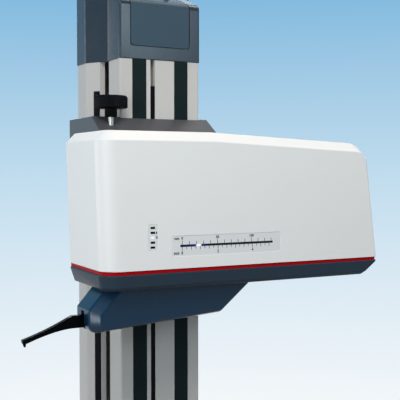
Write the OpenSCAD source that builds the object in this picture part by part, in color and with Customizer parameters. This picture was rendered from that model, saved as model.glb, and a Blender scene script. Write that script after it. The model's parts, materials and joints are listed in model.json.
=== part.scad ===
// Surface roughness tester: a drive unit with a stylus probe on a motorised measuring column.
// Millimetres, +Z up, the front faces -Y, the origin is on the floor under the column's axis.

/* [Foot] */
// Width of the cast foot
foot_w = 230; // [215:1:260]
// Depth of the cast foot
foot_d = 212; // [200:1:220]
// Thickness of the foot's plate
foot_plate_h = 20; // [14:1:26]
// Height of the raised pad under the column
foot_pad_h = 8; // [4:1:12]
// Margin of the raised pad around the column
foot_pad_margin = 8; // [4:1:9]
// Corner radius of the foot's plate
foot_corner_r = 18; // [8:1:30]
// Spacing of the floor bolts across the foot
floor_bolt_x = 200; // [190:1:204]
// Spacing of the floor bolts from front to back
floor_bolt_y = 176; // [160:1:182]
// Diameter of a floor bolt's hole
floor_bolt_d = 11; // [6:0.5:13]

/* [Column] */
// Height of the column profile
column_h = 675; // [640:1:900]
// Width of the column's front
column_front_w = 124; // [118:1:136]
// Width of the column's rear
column_rear_w = 168; // [160:1:176]
// Depth of the column
column_d = 116; // [112:1:122]
// Depth of the straight sides behind the front
land_d = 42.4; // [40:0.1:46]
// Depth over which the sides flare out
flare_d = 36.4; // [30:0.1:40]
// Corner radius of the column profile
column_corner_r = 3; // [2:0.5:7]
// Thickness of the side and rear walls
column_wall = 8; // [6:0.5:10]
// Thickness of the front wall
front_wall = 18; // [15:0.5:20]
// Width of the slot in the left side
side_slot_w = 14; // [12:0.5:16]
// Diameter of the screw channels in the profile
channel_d = 7; // [5:0.5:8]

/* [Guideways and strips] */
// Width of a guideway bar
guideway_w = 21; // [16:0.5:23]
// Distance between the guideways' centre lines
guideway_pitch = 65.2; // [62:0.2:68]
// Thickness of a guideway bar
guideway_t = 9; // [6:0.5:11]
// Height by which a guideway stands proud of the column
guideway_proud = 0.5; // [0:0.1:1]
// Centre of the narrow front slot, from the column's axis
front_slot_x = -12; // [-14:0.5:-9]
// Width of the narrow front slot
front_slot_w = 7; // [5:0.5:8]
// Depth of the narrow front slot
front_slot_d = 13; // [5:0.5:13]
// Height of the slot filler above the foot
filler_h = 638; // [500:1:640]
// Height of the sealing lip above the foot
lip_h = 633; // [500:1:640]
// Width of the sealing lip beside the left slot
lip_w = 9.5; // [8:0.5:16]
// Thickness of the sealing lip
lip_t = 3; // [2:0.5:5]

/* [Cap] */
// Height of the cap at its front
cap_h = 82; // [78:1:110]
// Angle at which the cap's crown rises towards the rear
crown_a = 22; // [10:1:25]
// Radius of the crown's front and rear edges
cap_edge_r = 13; // [8:1:18]
// Wall of the cap
cap_wall = 4; // [3:0.5:5]
// Distance by which the cap stands out over the column
cap_over = 1; // [0:0.5:2]
// Width of the inset front panel
panel_w = 91; // [70:1:100]
// Height of the panel's lower edge above the cap's lower edge
panel_sill = 19; // [12:1:30]
// Thickness of the inset panel
panel_t = 2; // [1.5:0.1:2.5]
// Groove around the inset panel
panel_groove = 1; // [0.5:0.1:2]
// Length of the panel over the cap's top
panel_reach = 34; // [24:1:44]

/* [Lift drive] */
// Diameter of the lift screw
lift_screw_d = 16; // [14:1:20]
// Diameter of the lift screw's journals
lift_journal_d = 12; // [8:1:13]
// Width of the lift motor
lift_motor_w = 57; // [42:1:60]
// Height of the lift motor
lift_motor_h = 52; // [40:1:60]
// Thickness of the motor plate
motor_plate_t = 8; // [6:0.5:12]
// Width of the lift nut
lift_nut_w = 44; // [36:1:50]
// Depth of the lift nut
lift_nut_d = 34; // [30:1:40]
// Height of the lift nut
lift_nut_h = 50; // [40:1:70]

/* [Carriage] */
// Height of the drive unit's red line above the floor
unit_z = 420; // [380:1:430]
// Thickness of the saddle plate
saddle_t = 25.5; // [20:0.5:32]
// Height of the saddle plate
saddle_h = 140; // [120:1:150]
// Thickness of the slide shoes
shoe_t = 3.4; // [2.5:0.1:5]
// Width of a slide shoe
shoe_w = 18; // [12:0.5:20]
// Height of a slide shoe
shoe_h = 34; // [24:1:44]
// Thickness of the side cheeks
cheek_t = 7.5; // [6:0.5:9]
// Height of the side cheeks
cheek_h = 70; // [50:1:90]
// Thickness of the finger that reaches through the side slot
finger_t = 8; // [6:0.5:9]
// Width of the clamp block
clamp_block_w = 25; // [20:1:30]
// Wall of the carriage shroud
shroud_wall = 2.5; // [2:0.1:3]
// Height of the shroud's level top above the red line
shroud_top_h = 200.7; // [197:0.1:210]
// Drop of the shroud's sloping front
shroud_slope_h = 20.7; // [14:0.1:22]
// Height of the shroud's lower edge above the red line
shroud_sill_h = 17; // [10:1:22]
// Depth of the shroud's left wall behind the column's axis
shroud_tail = 36; // [28:1:44]
// Space beside the clamp block inside the shroud
shroud_room = 5.1; // [4:0.1:9]

/* [Clamp knob] */
// Diameter of the knob's knurled head
knob_d = 46; // [36:1:47]
// Height of the knob's head
knob_h = 17; // [12:0.5:22]
// Diameter of the knob's hub
knob_hub_d = 17; // [14:0.2:20]
// Height of the knob's hub
knob_hub_h = 12; // [8:0.5:16]
// Height of the hub's lower end above the shroud's front edge
knob_lift = 19; // [16:0.5:24]
// Diameter of the clamping stud
stud_d = 8; // [6:0.2:9]
// Number of grooves around the knob
knob_grooves = 36; // [18:1:40]

/* [Drive unit] */
// Distance from the column's axis to the unit's left end
unit_left = 147; // [140:1:155]
// Length of the unit at the red line
unit_l = 411; // [400:1:430]
// Depth of the unit
unit_d = 126; // [122:1:140]
// Gap between the shroud and the unit
unit_gap = 2; // [1:0.5:6]
// Height of the base below the red line
base_h = 19.7; // [16:0.1:24]
// Height of the red trim line
trim_h = 4.5; // [3:0.1:6]
// Setback of the trim line
trim_setback = 1.2; // [0.6:0.1:2]
// Height of the front face's upper edge above the red line
shoulder_h = 162.5; // [156:0.5:180]
// Chamfer between the front face and the top
chamfer = 12; // [8:0.5:14]
// Length of the level part of the upper edge
level_l = 150; // [120:1:200]
// Angle at which the upper edge falls towards the right end
fall_a = 2.7; // [1.5:0.1:3.5]
// Angle at which the right end leans in
lean_a = 7.55; // [5:0.05:9]
// Distance by which the left end leans out at the shoulder
left_lean = 5; // [0:0.5:8]
// Radius of the front left corner
corner_r = 22; // [18:1:28]
// Radius of the front face's upper right corner
end_r = 16; // [12:1:18]
// Radius of the top's right end
end_top_r = 28; // [20:1:32]
// Setback of the front face at its right edge
end_setback = 4; // [2:0.5:6]
// Wall of the cover
cover_wall = 4; // [3:0.5:4.5]
// Thickness of the back plate
back_t = 8; // [6:0.5:10]
// Thickness of the base's floor
floor_t = 8; // [6:0.5:10]

/* [Windows] */
// Left edge of the scale window, from the unit's left end
scale_x = 89; // [86:0.5:100]
// Length of the scale window
scale_l = 158; // [146:1:170]
// Height of the scale window's lower edge above the red line
scale_z = 20.5; // [16:0.5:24]
// Height of the scale window
scale_h = 24.3; // [20:0.1:28]
// Left edge of the level window, from the unit's left end
level_x = 57.5; // [50:0.5:62]
// Width of the level window
level_w = 12; // [9:0.5:14]
// Height of the level window's lower edge above the red line
level_z = 28.5; // [24:0.5:34]
// Height of the level window
level_h = 31.5; // [26:0.5:36]
// Thickness of the windows
window_t = 1.2; // [0.8:0.1:1.8]

/* [Traverse] */
// Measuring travel of the probe
travel = 130; // [100:1:130]
// Part of the travel already used at rest
travel_used = 23; // [10:1:40]
// Width of the guide beam
beam_w = 30; // [24:1:34]
// Height of the guide beam
beam_h = 35; // [28:1:40]
// Length of the traverse slide
slide_l = 60; // [50:1:64]
// Wall of the traverse slide
slide_wall = 8; // [6:0.5:9]
// Thickness of the slide pads
pad_t = 2; // [1.5:0.1:3]
// Width of the neck under the slide
neck_w = 10; // [8:0.5:12]
// Length of the neck under the slide
neck_l = 44; // [36:1:48]
// Diameter of the traverse screw
traverse_screw_d = 10; // [8:0.5:11]
// Width of the traverse motor
traverse_motor_w = 40; // [35:1:42]
// Length of the traverse motor
traverse_motor_l = 48; // [35:1:54]

/* [Probe] */
// Distance from the column's axis to the probe's nose
probe_nose = 154; // [150:1:158]
// Length of the probe's underside up to its heel
probe_l = 181; // [172:1:190]
// Length of the tail behind the heel
probe_tail = 49; // [44:1:54]
// Width of the probe
probe_w = 66; // [60:1:70]
// Width of the nose between its bevels
nose_w = 44; // [38:1:50]
// Setback of the nose's bevels
nose_bevel = 13; // [9:0.5:15]
// Height of the probe below the base at the nose
probe_h = 52.4; // [50:0.2:58]
// Rise of the underside from the nose to the heel
heel_rise = 12; // [8:0.1:15]
// Height of the sloping face over the nose
nose_slope_h = 24; // [20:0.5:26]
// Length of the sloping face over the nose
nose_slope_l = 21; // [16:0.5:24]
// Rounding under the nose
chin_r = 10; // [7:0.5:12]
// Wall of the probe housing
probe_wall = 4; // [3:0.5:5]
// Width of the slit in the nose
slit_w = 11; // [9:0.5:14]
// Gap between the base and the probe
probe_gap = 1.3; // [0.8:0.1:2]

/* [Probe arm] */
// Thickness of the probe arm
arm_t = 7; // [5:0.5:8]
// Height of the probe arm at its root
arm_h = 15.5; // [12:0.5:17]
// Length of the arm in front of the nose
arm_l = 76.8; // [60:0.2:90]
// Fall of the arm's upper edge from the nose to the tip
arm_fall = 24.8; // [18:0.2:30]
// Length of the straight root in front of the nose
arm_root_l = 14.5; // [12:0.5:24]
// Height of the stylus cone
stylus_h = 9; // [6:0.5:12]
// Distance from the nose to the pivot
pivot_back = 67; // [62:0.5:72]
// Diameter of the pivot pin
pivot_d = 4; // [3:0.5:5]
// Diameter of the counterweight
weight_d = 16; // [12:0.5:18]
// Length of the counterweight
weight_l = 22; // [16:0.5:26]

/* [Hidden] */
$fn = 48;

// Running clearance of shafts in their bores
run_fit = 0.05;
// Clearance of flat sliding faces
slide_fit = 0.1;
// Clearance of fixed pieces set into pockets
seat_fit = 0.2;
// Overrun of a cut past the face that it opens
over = 1;
// Share of an inset by which a 45 degree chamfer moves along its faces
chamfer_shift = sqrt(2) - 1;

// Column, in plan
front_y = -column_d / 2;
rear_y = column_d / 2;
front_x = column_front_w / 2;
rear_x = column_rear_w / 2;
flare_y = front_y + land_d;
flare_end_y = flare_y + flare_d;
slot_y = flare_y + side_slot_w / 2;
foot_h = foot_plate_h + foot_pad_h;
column_top = foot_h + column_h;
cap_top = column_top + cap_h;
channel_inset = 9;
channel_points = [for (side = [-1, 1]) each [
    [side * (front_x - channel_inset), front_y + front_wall / 2 + over],
    [side * (rear_x - column_wall - channel_inset / 2), rear_y - column_wall - channel_inset / 2]]];
channel_boss_r = channel_d / 2 + 5;

// How far the crown's round edges stand past the cap's walls, so that they cross them
crown_past = 0.2;
// Screws that hold the panel on the crown
cap_screw_x = 20;
cap_screw_in = 23;
cap_screw_y = front_y + cap_screw_in;
cap_screw_r = 2;
cap_screw_head_r = 4;
cap_screw_head_h = 2;

// Lift drive
lift_bearing_d = lift_journal_d + 16;
lower_block_h = 20;
lift_end_h = 6;

// Carriage stack, from the column's front to the unit's back
guide_face_y = front_y - guideway_proud;
shoe_back_y = guide_face_y - slide_fit;
saddle_back_y = shoe_back_y - shoe_t;
saddle_y = saddle_back_y - saddle_t;
shroud_y = saddle_y - shroud_wall;
back_y = shroud_y - unit_gap;
unit_y = back_y - unit_d;
side_pad_t = 2.4;
side_pad_d = 16;
side_pad_h = 18;
side_pad_in = 12;
cheek_x = front_x + slide_fit + side_pad_t;
cheek_out_x = cheek_x + cheek_t;
cheek_room = 0.6;
shroud_right = cheek_out_x + cheek_room + shroud_wall;
shroud_left = cheek_out_x + clamp_block_w + shroud_room + shroud_wall;
right_tail_l = 7.6;
shroud_right_tail = flare_y + right_tail_l;
saddle_up = 100;
saddle_z = unit_z + saddle_up;
shroud_z = unit_z + shroud_sill_h;
shroud_top = unit_z + shroud_top_h;
shroud_edge = shroud_top - shroud_slope_h;
column_gap = 1;
boss_w = 104;
boss_h = 92;
bolt_x = 40;
bolt_z = 34;
bolt_r = 4;
head_r = 6.5;
head_h = 6;
bolt_depth = 18;
block_in = 10;
block_gap = 1;

// Knob
knob_in = 3;
knob_back = 1.7;
knob_x = knob_in - cheek_out_x - clamp_block_w / 2;
knob_y = (saddle_y + saddle_back_y) / 2 + knob_back;
knob_z = shroud_edge + knob_lift;
stud_depth = 40;
block_top = shroud_edge - shroud_wall;
stud_hole_r = stud_d / 2 + 1;
stud_room = 6;

// Drive unit
base_z = unit_z - base_h;
floor_z = base_z + floor_t;
cover_z = unit_z + trim_h;
cover_top = unit_z + shoulder_h + chamfer;
unit_x = -unit_left;
right_x = unit_x + unit_l;
base_taper = 6;
base_slant = 25;
base_wall = 8;
window_r = 1.5;
led_step = 10;
led_count = 14;
led_r = 1.2;
led_x = unit_x + scale_x + (scale_l - (led_count - 1) * led_step) / 2;
led_z = unit_z + scale_z + scale_h / 2;
level_step = 6;
level_count = 5;
board_t = 1.6;

// Control board and cable socket on the back plate
board_l = 130;
board_h = 60;
board_in = 191;
board_x0 = right_x - board_in;
board_x1 = board_x0 + board_l;
board_up = 72;
board_z0 = unit_z + board_up;
board_z1 = board_z0 + board_h;
board_pillar_l = 7;
board_y = back_y - back_t - board_pillar_l;
board_pillar_in = 5;
board_pillar_r = 3;
chip_w = 18;
chip_t = 3;
chip_step = 28;
socket_in = 71;
socket_x = right_x - socket_in;
socket_up = 45;
socket_z = unit_z + socket_up;
socket_r = 11;
socket_body_r = socket_r - 2;
socket_recess = 3;

// Traverse
axis_in = 58;
axis_y = unit_y + axis_in;
slide_x = -60;
slide_reach_left = slide_x - travel_used - slide_l / 2;
slide_reach_right = slide_x - travel_used + travel + slide_l / 2;
beam_up = 24;
beam_z = floor_z + beam_up;
beam_top = beam_z + beam_h;
support_l = 18;
support_gap = 3;
beam_left = slide_reach_left - support_gap - support_l;
beam_right = slide_reach_right + support_gap + support_l;
ring_in = beam_w / 2 + slide_fit + pad_t;
ring_out = ring_in + slide_wall;
ring_low = beam_z - 3;
ring_top = beam_top + slide_fit + pad_t;
nut_w = 20;
nut_l = 30;
screw_y = axis_y + ring_out + nut_w / 2;
screw_z = beam_z + beam_h / 2;
screw_r = traverse_screw_d / 2;
journal_r = screw_r - 1;
bearing_r = journal_r + 4;
screw_block_t = 10;
screw_left = slide_reach_left - support_gap;
screw_right = slide_reach_right + support_gap;
coupling_r = 9;
coupling_l = 22;
coupling_x = screw_right + screw_block_t + 4;
shaft_r = 3;
bracket_t = 5;
bracket_x = coupling_x + coupling_l + 4;
neck_slot_w = neck_w + 8;
neck_end_gap = 2;
neck_slot_x0 = slide_x - travel_used - neck_l / 2 - neck_end_gap;
neck_slot_x1 = slide_x - travel_used + travel + neck_l / 2 + neck_end_gap;
brush_gap = 0.4;
brush_t = 2.4;

// Probe
probe_top = base_z - probe_gap;
nose_x = -probe_nose;
chin_z = probe_top - probe_h;
heel_x = nose_x + probe_l;
tail_x = heel_x + probe_tail;
floor_bevel = 4;
plate_t = 5;
plate_z = probe_top - plate_t;
cavity_w = probe_w - 2 * (probe_wall + 1);
cavity_in = nose_bevel + probe_wall;
slit_l = 38;
slit_top = probe_top - nose_slope_h - 3;
pivot_x = nose_x + pivot_back;
arm_low = chin_z + 4.9;
arm_z = arm_low + arm_h;
pivot_z = arm_z + 2;
yoke_in = 18;
yoke_t = 7;
yoke_w = 20;
pivot_bearing_r = pivot_d / 2 + 3;
holder_t = 8;
holder_in = 30;
holder_x = nose_x + holder_in;
holder_tail = 27;
holder_end = pivot_x + holder_tail;
weight_z = pivot_z + 4;
arm_tip_x = nose_x - arm_l;
arm_tip_z = arm_z - arm_fall;
tip_h = 4.2;
tip_edge = 0.7;
stylus_root_r = 2.4;

// A block between two opposite corners
module block(low, high) {
    translate(low) cube(high - low);
}

// A round bar along X, Y or Z between two places on its axis
module bar_x(from, to, y, z, r) {
    translate([from, y, z]) rotate([0, 90, 0]) cylinder(r = r, h = to - from);
}
module bar_y(x, from, to, z, r) {
    translate([x, from, z]) rotate([-90, 0, 0]) cylinder(r = r, h = to - from);
}
module bar_z(x, y, from, to, r) {
    translate([x, y, from]) cylinder(r = r, h = to - from);
}

// A rectangle with round corners, centred
module round_rect(w, d, r) {
    square([w - 2 * r, d], center = true);
    square([w, d - 2 * r], center = true);
    for (x = [-1, 1], y = [-1, 1]) translate([x * (w / 2 - r), y * (d / 2 - r)]) circle(r);
}

// A flat outline in X and Z, drawn upright and given a thickness along Y
module upright(from, to) {
    translate([0, to, 0]) rotate([90, 0, 0]) linear_extrude(to - from) children();
}

// The outline of the column in plan, grown on every side
module column_outline(grow = 0) {
    r = column_corner_r;
    half = [
        [front_x + grow - r, front_y - grow],
        [front_x + grow, front_y - grow + r],
        [front_x + grow, flare_y],
        [rear_x + grow, flare_end_y],
        [rear_x + grow, rear_y + grow - r],
        [rear_x + grow - r, rear_y + grow]];
    polygon(concat(half, [for (i = [len(half) - 1 : -1 : 0]) [-half[i][0], half[i][1]]]));
    for (side = [-1, 1]) {
        translate([side * (front_x + grow - r), front_y - grow + r]) circle(r);
        translate([side * (rear_x + grow - r), rear_y + grow - r]) circle(r);
    }
}

// The hollow of the column in plan, with bosses left for the screw channels
module column_cavity() {
    half = [
        [front_x - column_wall, front_y + front_wall],
        [front_x - column_wall, flare_y],
        [rear_x - column_wall, flare_end_y],
        [rear_x - column_wall, rear_y - column_wall]];
    difference() {
        polygon(concat(half, [for (i = [len(half) - 1 : -1 : 0]) [-half[i][0], half[i][1]]]));
        for (p = channel_points) translate(p) circle(channel_boss_r);
    }
}

// Foot and column

module column_foot() {
    color("dimgray") difference() {
        union() {
            linear_extrude(foot_plate_h) round_rect(foot_w, foot_d, foot_corner_r);
            linear_extrude(foot_h) column_outline(foot_pad_margin);
        }
        for (x = [-1, 1], y = [-1, 1]) {
            bar_z(x * floor_bolt_x / 2, y * floor_bolt_y / 2, -over, foot_h + over, floor_bolt_d / 2);
        }
        for (p = channel_points) {
            bar_z(p[0], p[1], -over, foot_h + over, channel_d / 2 + seat_fit);
            bar_z(p[0], p[1], -over, foot_plate_h / 2, channel_d + seat_fit);
        }
    }
}

module column_screws() {
    screw_reach = 24;
    head_room = 2;
    color("silver") for (p = channel_points) {
        bar_z(p[0], p[1], head_room, foot_plate_h / 2, channel_d);
        bar_z(p[0], p[1], head_room, foot_h + screw_reach, channel_d / 2 - run_fit);
    }
}

module column_profile() {
    color("lightgray") translate([0, 0, foot_h]) linear_extrude(column_h) difference() {
        column_outline();
        column_cavity();
        for (side = [-1, 1]) {
            translate([side * guideway_pitch / 2 - guideway_w / 2 - seat_fit, front_y - over])
                square([guideway_w + 2 * seat_fit, guideway_t - guideway_proud + over]);
        }
        translate([front_slot_x - front_slot_w / 2, front_y - over])
            square([front_slot_w, front_slot_d + over]);
        translate([-rear_x, flare_y])
            square([rear_x - front_x + column_wall + over, side_slot_w]);
        for (p = channel_points) translate(p) circle(channel_d / 2);
    }
}

module guideway(side) {
    x = side * guideway_pitch / 2;
    color("black") block([x - guideway_w / 2, guide_face_y, foot_h],
                         [x + guideway_w / 2, guide_face_y + guideway_t, column_top]);
}

module slot_filler() {
    sunk = 0.3;
    half = front_slot_w / 2 - seat_fit;
    color("black") block([front_slot_x - half, front_y + sunk, foot_h],
                         [front_slot_x + half, front_y + front_slot_d, foot_h + filler_h]);
}

// The sealing lip's section in plan, beside the slot on the flared side
module lip_section(grow = 0) {
    flare_a = atan2(flare_d, rear_x - front_x);
    edge = side_slot_w / sin(flare_a);
    translate([-front_x, flare_y]) rotate(180 - flare_a)
        translate([edge - grow, -grow]) square([lip_w + 2 * grow, lip_t + 2 * grow]);
}

module sealing_lip() {
    color("black") translate([0, 0, foot_h]) linear_extrude(lip_h) lip_section();
}

module lower_bearing() {
    color("silver") difference() {
        bar_z(0, slot_y, foot_h, foot_h + lower_block_h, lift_bearing_d / 2);
        bar_z(0, slot_y, foot_h + lift_end_h, foot_h + lower_block_h + over, lift_journal_d / 2 + run_fit);
    }
}

// Cap and lift motor

module motor_plate() {
    inset = -cap_wall - 1;
    motor_bolt = lift_motor_w * 0.4;
    color("gray") translate([0, 0, column_top]) difference() {
        linear_extrude(motor_plate_t) difference() {
            column_outline(inset);
            translate([0, slot_y]) circle(lift_bearing_d / 2);
        }
        for (x = [-1, 1], y = [-1, 1]) {
            bar_z(x * motor_bolt, slot_y + y * motor_bolt, -over, motor_plate_t + over, 2);
        }
    }
}

module upper_bearing() {
    color("silver") translate([0, slot_y, column_top]) difference() {
        cylinder(d = lift_bearing_d, h = motor_plate_t);
        translate([0, 0, -over]) cylinder(r = lift_journal_d / 2 + run_fit, h = motor_plate_t + 2 * over);
    }
}

module lift_motor() {
    end_cap = 9;
    rib = 1.5;
    z = column_top + motor_plate_t;
    color("black") translate([0, slot_y, z]) difference() {
        union() {
            linear_extrude(end_cap) round_rect(lift_motor_w, lift_motor_w, 4);
            linear_extrude(lift_motor_h) round_rect(lift_motor_w - 2 * rib, lift_motor_w - 2 * rib, 6);
            translate([0, 0, lift_motor_h - end_cap])
                linear_extrude(end_cap) round_rect(lift_motor_w, lift_motor_w, 4);
        }
        translate([0, 0, -over]) cylinder(r = lift_journal_d / 2 + run_fit, h = lift_motor_h / 2 + over);
    }
}

// The height of the cap's crown at a place along Y
function crown_z(y) = cap_top + (y - front_y) * tan(crown_a);

// Points of an arc between two angles
function arc_points(c, r, from, to, steps) =
    [for (i = [0 : steps]) let (a = from + (to - from) * i / steps) c + r * [cos(a), sin(a)]];

// The cap's side outline in Y and Z, with every wall moved in: a round front and rear edge on a rising crown
module crown_side(inset, low) {
    r = cap_edge_r - inset;
    front = front_y - cap_over - crown_past + cap_edge_r;
    rear = rear_y + cap_over + crown_past - cap_edge_r;
    drop = cap_edge_r / cos(crown_a);
    front_c = [front, crown_z(front) - drop];
    rear_c = [rear, crown_z(rear) - drop];
    polygon(concat(
        [[front - r, low]],
        arc_points(front_c, r, 180, 90 + crown_a, 8),
        arc_points(rear_c, r, 90 + crown_a, 0, 12),
        [[rear + r, low]]
    ));
}

// The form of the cap, with every wall moved in: the column's outline under the crown
module cap_form(inset, low) {
    intersection() {
        translate([0, 0, low]) linear_extrude(crown_z(rear_y) - low) column_outline(cap_over - inset);
        rotate([90, 0, 90]) linear_extrude(column_rear_w + 2 * cap_over + 2 * over, center = true)
            crown_side(inset, low - over);
    }
}

// Places for the two screws, upright on the crown
module on_crown() {
    for (side = [-1, 1]) {
        translate([side * cap_screw_x, cap_screw_y, crown_z(cap_screw_y)]) rotate([crown_a, 0, 0]) children();
    }
}

// The field of the inset panel, grown by the groove around it
module panel_field(grow) {
    corner = 5;
    z = column_top + panel_sill - grow;
    w = panel_w + 2 * grow;
    h = cap_h + panel_reach;
    upright(front_y - cap_over - over - grow, front_y + panel_reach - over + grow) {
        translate([0, z + corner + h / 2]) square([w, h], center = true);
        translate([0, z + h / 2]) square([w - 2 * corner, h], center = true);
        for (side = [-1, 1]) translate([side * (w / 2 - corner), z + corner]) circle(corner);
    }
}

module top_cap() {
    color("slategray") difference() {
        cap_form(0, column_top);
        cap_form(cap_wall, column_top - over);
        difference() {
            panel_field(panel_groove);
            cap_form(panel_t, column_top - over);
        }
        on_crown() bar_z(0, 0, -cap_wall - over, over, cap_screw_r + seat_fit);
    }
}

module cap_panel() {
    color("slategray") difference() {
        intersection() {
            difference() {
                cap_form(0, column_top);
                cap_form(panel_t, column_top - over);
            }
            panel_field(0);
        }
        on_crown() bar_z(0, 0, -cap_wall, over, cap_screw_r + seat_fit);
    }
}

module cap_screws() {
    color("dimgray") on_crown() {
        bar_z(0, 0, 0, cap_screw_head_h, cap_screw_head_r);
        bar_z(0, 0, -2 * cap_wall, cap_screw_head_h, cap_screw_r);
    }
}

module lift_screw() {
    screw_low = foot_h + lower_block_h + 4;
    screw_high = column_top - 6;
    motor_reach = lift_motor_h / 2 - 2;
    color("silver") {
        bar_z(0, slot_y, screw_low, screw_high, lift_screw_d / 2);
        bar_z(0, slot_y, foot_h + lift_end_h + slide_fit, screw_low, lift_journal_d / 2);
        bar_z(0, slot_y, screw_high, column_top + motor_plate_t + motor_reach, lift_journal_d / 2);
    }
}

// Carriage

module carriage_saddle() {
    low = saddle_z - saddle_h / 2;
    color("gray") difference() {
        union() {
            block([-cheek_x, saddle_y, low], [cheek_x, saddle_back_y, low + saddle_h]);
            block([-boss_w / 2, back_y, saddle_z - boss_h / 2],
                  [boss_w / 2, saddle_y + over, saddle_z + boss_h / 2]);
        }
        for (x = [-1, 1], z = [-1, 1]) {
            bar_y(x * bolt_x, back_y - over, back_y + bolt_depth + over, saddle_z + z * bolt_z,
                  bolt_r + run_fit);
        }
    }
}

module slide_shoes() {
    spread = saddle_h / 2 - shoe_h / 2 - 4;
    side_spread = cheek_h / 2 - side_pad_in;
    side_y = front_y + land_d / 2;
    color("burlywood") for (x = [-1, 1], z = [-1, 1]) {
        translate([x * guideway_pitch / 2, (saddle_back_y + shoe_back_y) / 2, saddle_z + z * spread])
            cube([shoe_w, shoe_t, shoe_h], center = true);
        translate([x * (cheek_x - side_pad_t / 2), side_y, saddle_z + z * side_spread])
            cube([side_pad_t, side_pad_d, side_pad_h], center = true);
    }
}

module cheek(side, tail) {
    low = saddle_z - cheek_h / 2;
    x0 = min(side * cheek_x, side * cheek_out_x);
    block([x0, saddle_back_y - saddle_t / 2, low], [x0 + cheek_t, tail, low + cheek_h]);
}

module cheek_left() {
    low = saddle_z - cheek_h / 2;
    color("gray") {
        cheek(-1, slot_y + finger_t / 2);
        block([-cheek_out_x, slot_y - finger_t / 2, low],
              [-lift_nut_w / 2, slot_y + finger_t / 2, low + cheek_h]);
    }
}

module cheek_right() {
    color("gray") cheek(1, front_y + land_d - 6);
}

module lift_nut() {
    color("goldenrod") translate([0, slot_y, saddle_z - lift_nut_h / 2]) difference() {
        translate([-lift_nut_w / 2, -lift_nut_d / 2, 0]) cube([lift_nut_w, lift_nut_d, lift_nut_h]);
        translate([0, 0, -over]) cylinder(r = lift_screw_d / 2 + run_fit, h = lift_nut_h + 2 * over);
    }
}

module clamp_block() {
    low = saddle_z - cheek_h / 2 + block_in;
    color("gray") difference() {
        block([-cheek_out_x - clamp_block_w, saddle_y + block_gap, low],
              [-cheek_out_x, saddle_back_y, block_top]);
        bar_z(knob_x, knob_y, block_top - stud_depth, block_top + over, stud_d / 2 + run_fit);
    }
}

// The shroud's side outline, drawn in Y and Z, with its walls moved in
module shroud_side(inset, low, tail) {
    slope = shroud_slope_h / (front_y - shroud_y);
    polygon([
        [shroud_y + inset, low],
        [tail, low],
        [tail, shroud_top - inset],
        [front_y, shroud_top - inset],
        [shroud_y + inset, shroud_edge - inset + slope * inset]]);
}

module shroud_body(inset, low, tail) {
    translate([-shroud_left + inset, 0, 0]) rotate([90, 0, 90])
        linear_extrude(shroud_left + shroud_right - 2 * inset) shroud_side(inset, low, tail);
}

module carriage_shroud() {
    color("dimgray") difference() {
        shroud_body(0, shroud_z, shroud_tail);
        shroud_body(shroud_wall, shroud_z - over, shroud_tail + over);
        translate([0, 0, shroud_z]) linear_extrude(shroud_top_h) {
            column_outline(column_gap);
            lip_section(column_gap);
        }
        block([0, shroud_right_tail, shroud_z - over],
              [shroud_right + over, shroud_tail + over, shroud_top + over]);
        block([-boss_w / 2 - seat_fit, shroud_y - over, saddle_z - boss_h / 2 - seat_fit],
              [boss_w / 2 + seat_fit, saddle_y + over, saddle_z + boss_h / 2 + seat_fit]);
        bar_z(knob_x, knob_y, block_top - over, shroud_top + over, stud_hole_r);
    }
}

module unit_bolts() {
    inner_y = back_y - back_t;
    color("silver") for (x = [-1, 1], z = [-1, 1]) {
        bar_y(x * bolt_x, inner_y - head_h, inner_y, saddle_z + z * bolt_z, head_r);
        bar_y(x * bolt_x, inner_y, back_y + bolt_depth, saddle_z + z * bolt_z, bolt_r);
    }
}

module clamp_knob() {
    rim = 2;
    groove_r = 1.4;
    groove_out = 0.5;
    color("black") translate([knob_x, knob_y, knob_z]) difference() {
        union() {
            cylinder(d = knob_hub_d, h = knob_hub_h + over);
            translate([0, 0, knob_hub_h]) rotate_extrude() polygon([
                [0, 0], [knob_d / 2 - rim, 0], [knob_d / 2, rim], [knob_d / 2, knob_h - rim],
                [knob_d / 2 - rim, knob_h], [0, knob_h]]);
        }
        for (i = [1 : knob_grooves]) rotate(i * 360 / knob_grooves)
            translate([knob_d / 2 + groove_out, 0, knob_hub_h - over])
                cylinder(r = groove_r, h = knob_h + 2 * over);
        translate([0, 0, -over]) cylinder(d = stud_d, h = knob_hub_h + over);
    }
}

module clamp_stud() {
    low = block_top - stud_depth + stud_room;
    color("silver") bar_z(knob_x, knob_y, low, knob_z + knob_hub_h, stud_d / 2);
}

// Drive unit

// The place where the right end and the falling top meet, for a round of radius r
function end_centre(r, top) =
    let (
        t_end = tan(lean_a),
        t_top = tan(fall_a),
        a = unit_l - r / cos(lean_a),
        b = top - r / cos(fall_a),
        u = (a - (b - trim_h) * t_end - level_l * t_end * t_top) / (1 - t_end * t_top))
    [unit_x + u, unit_z + b - (u - level_l) * t_top];

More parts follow.
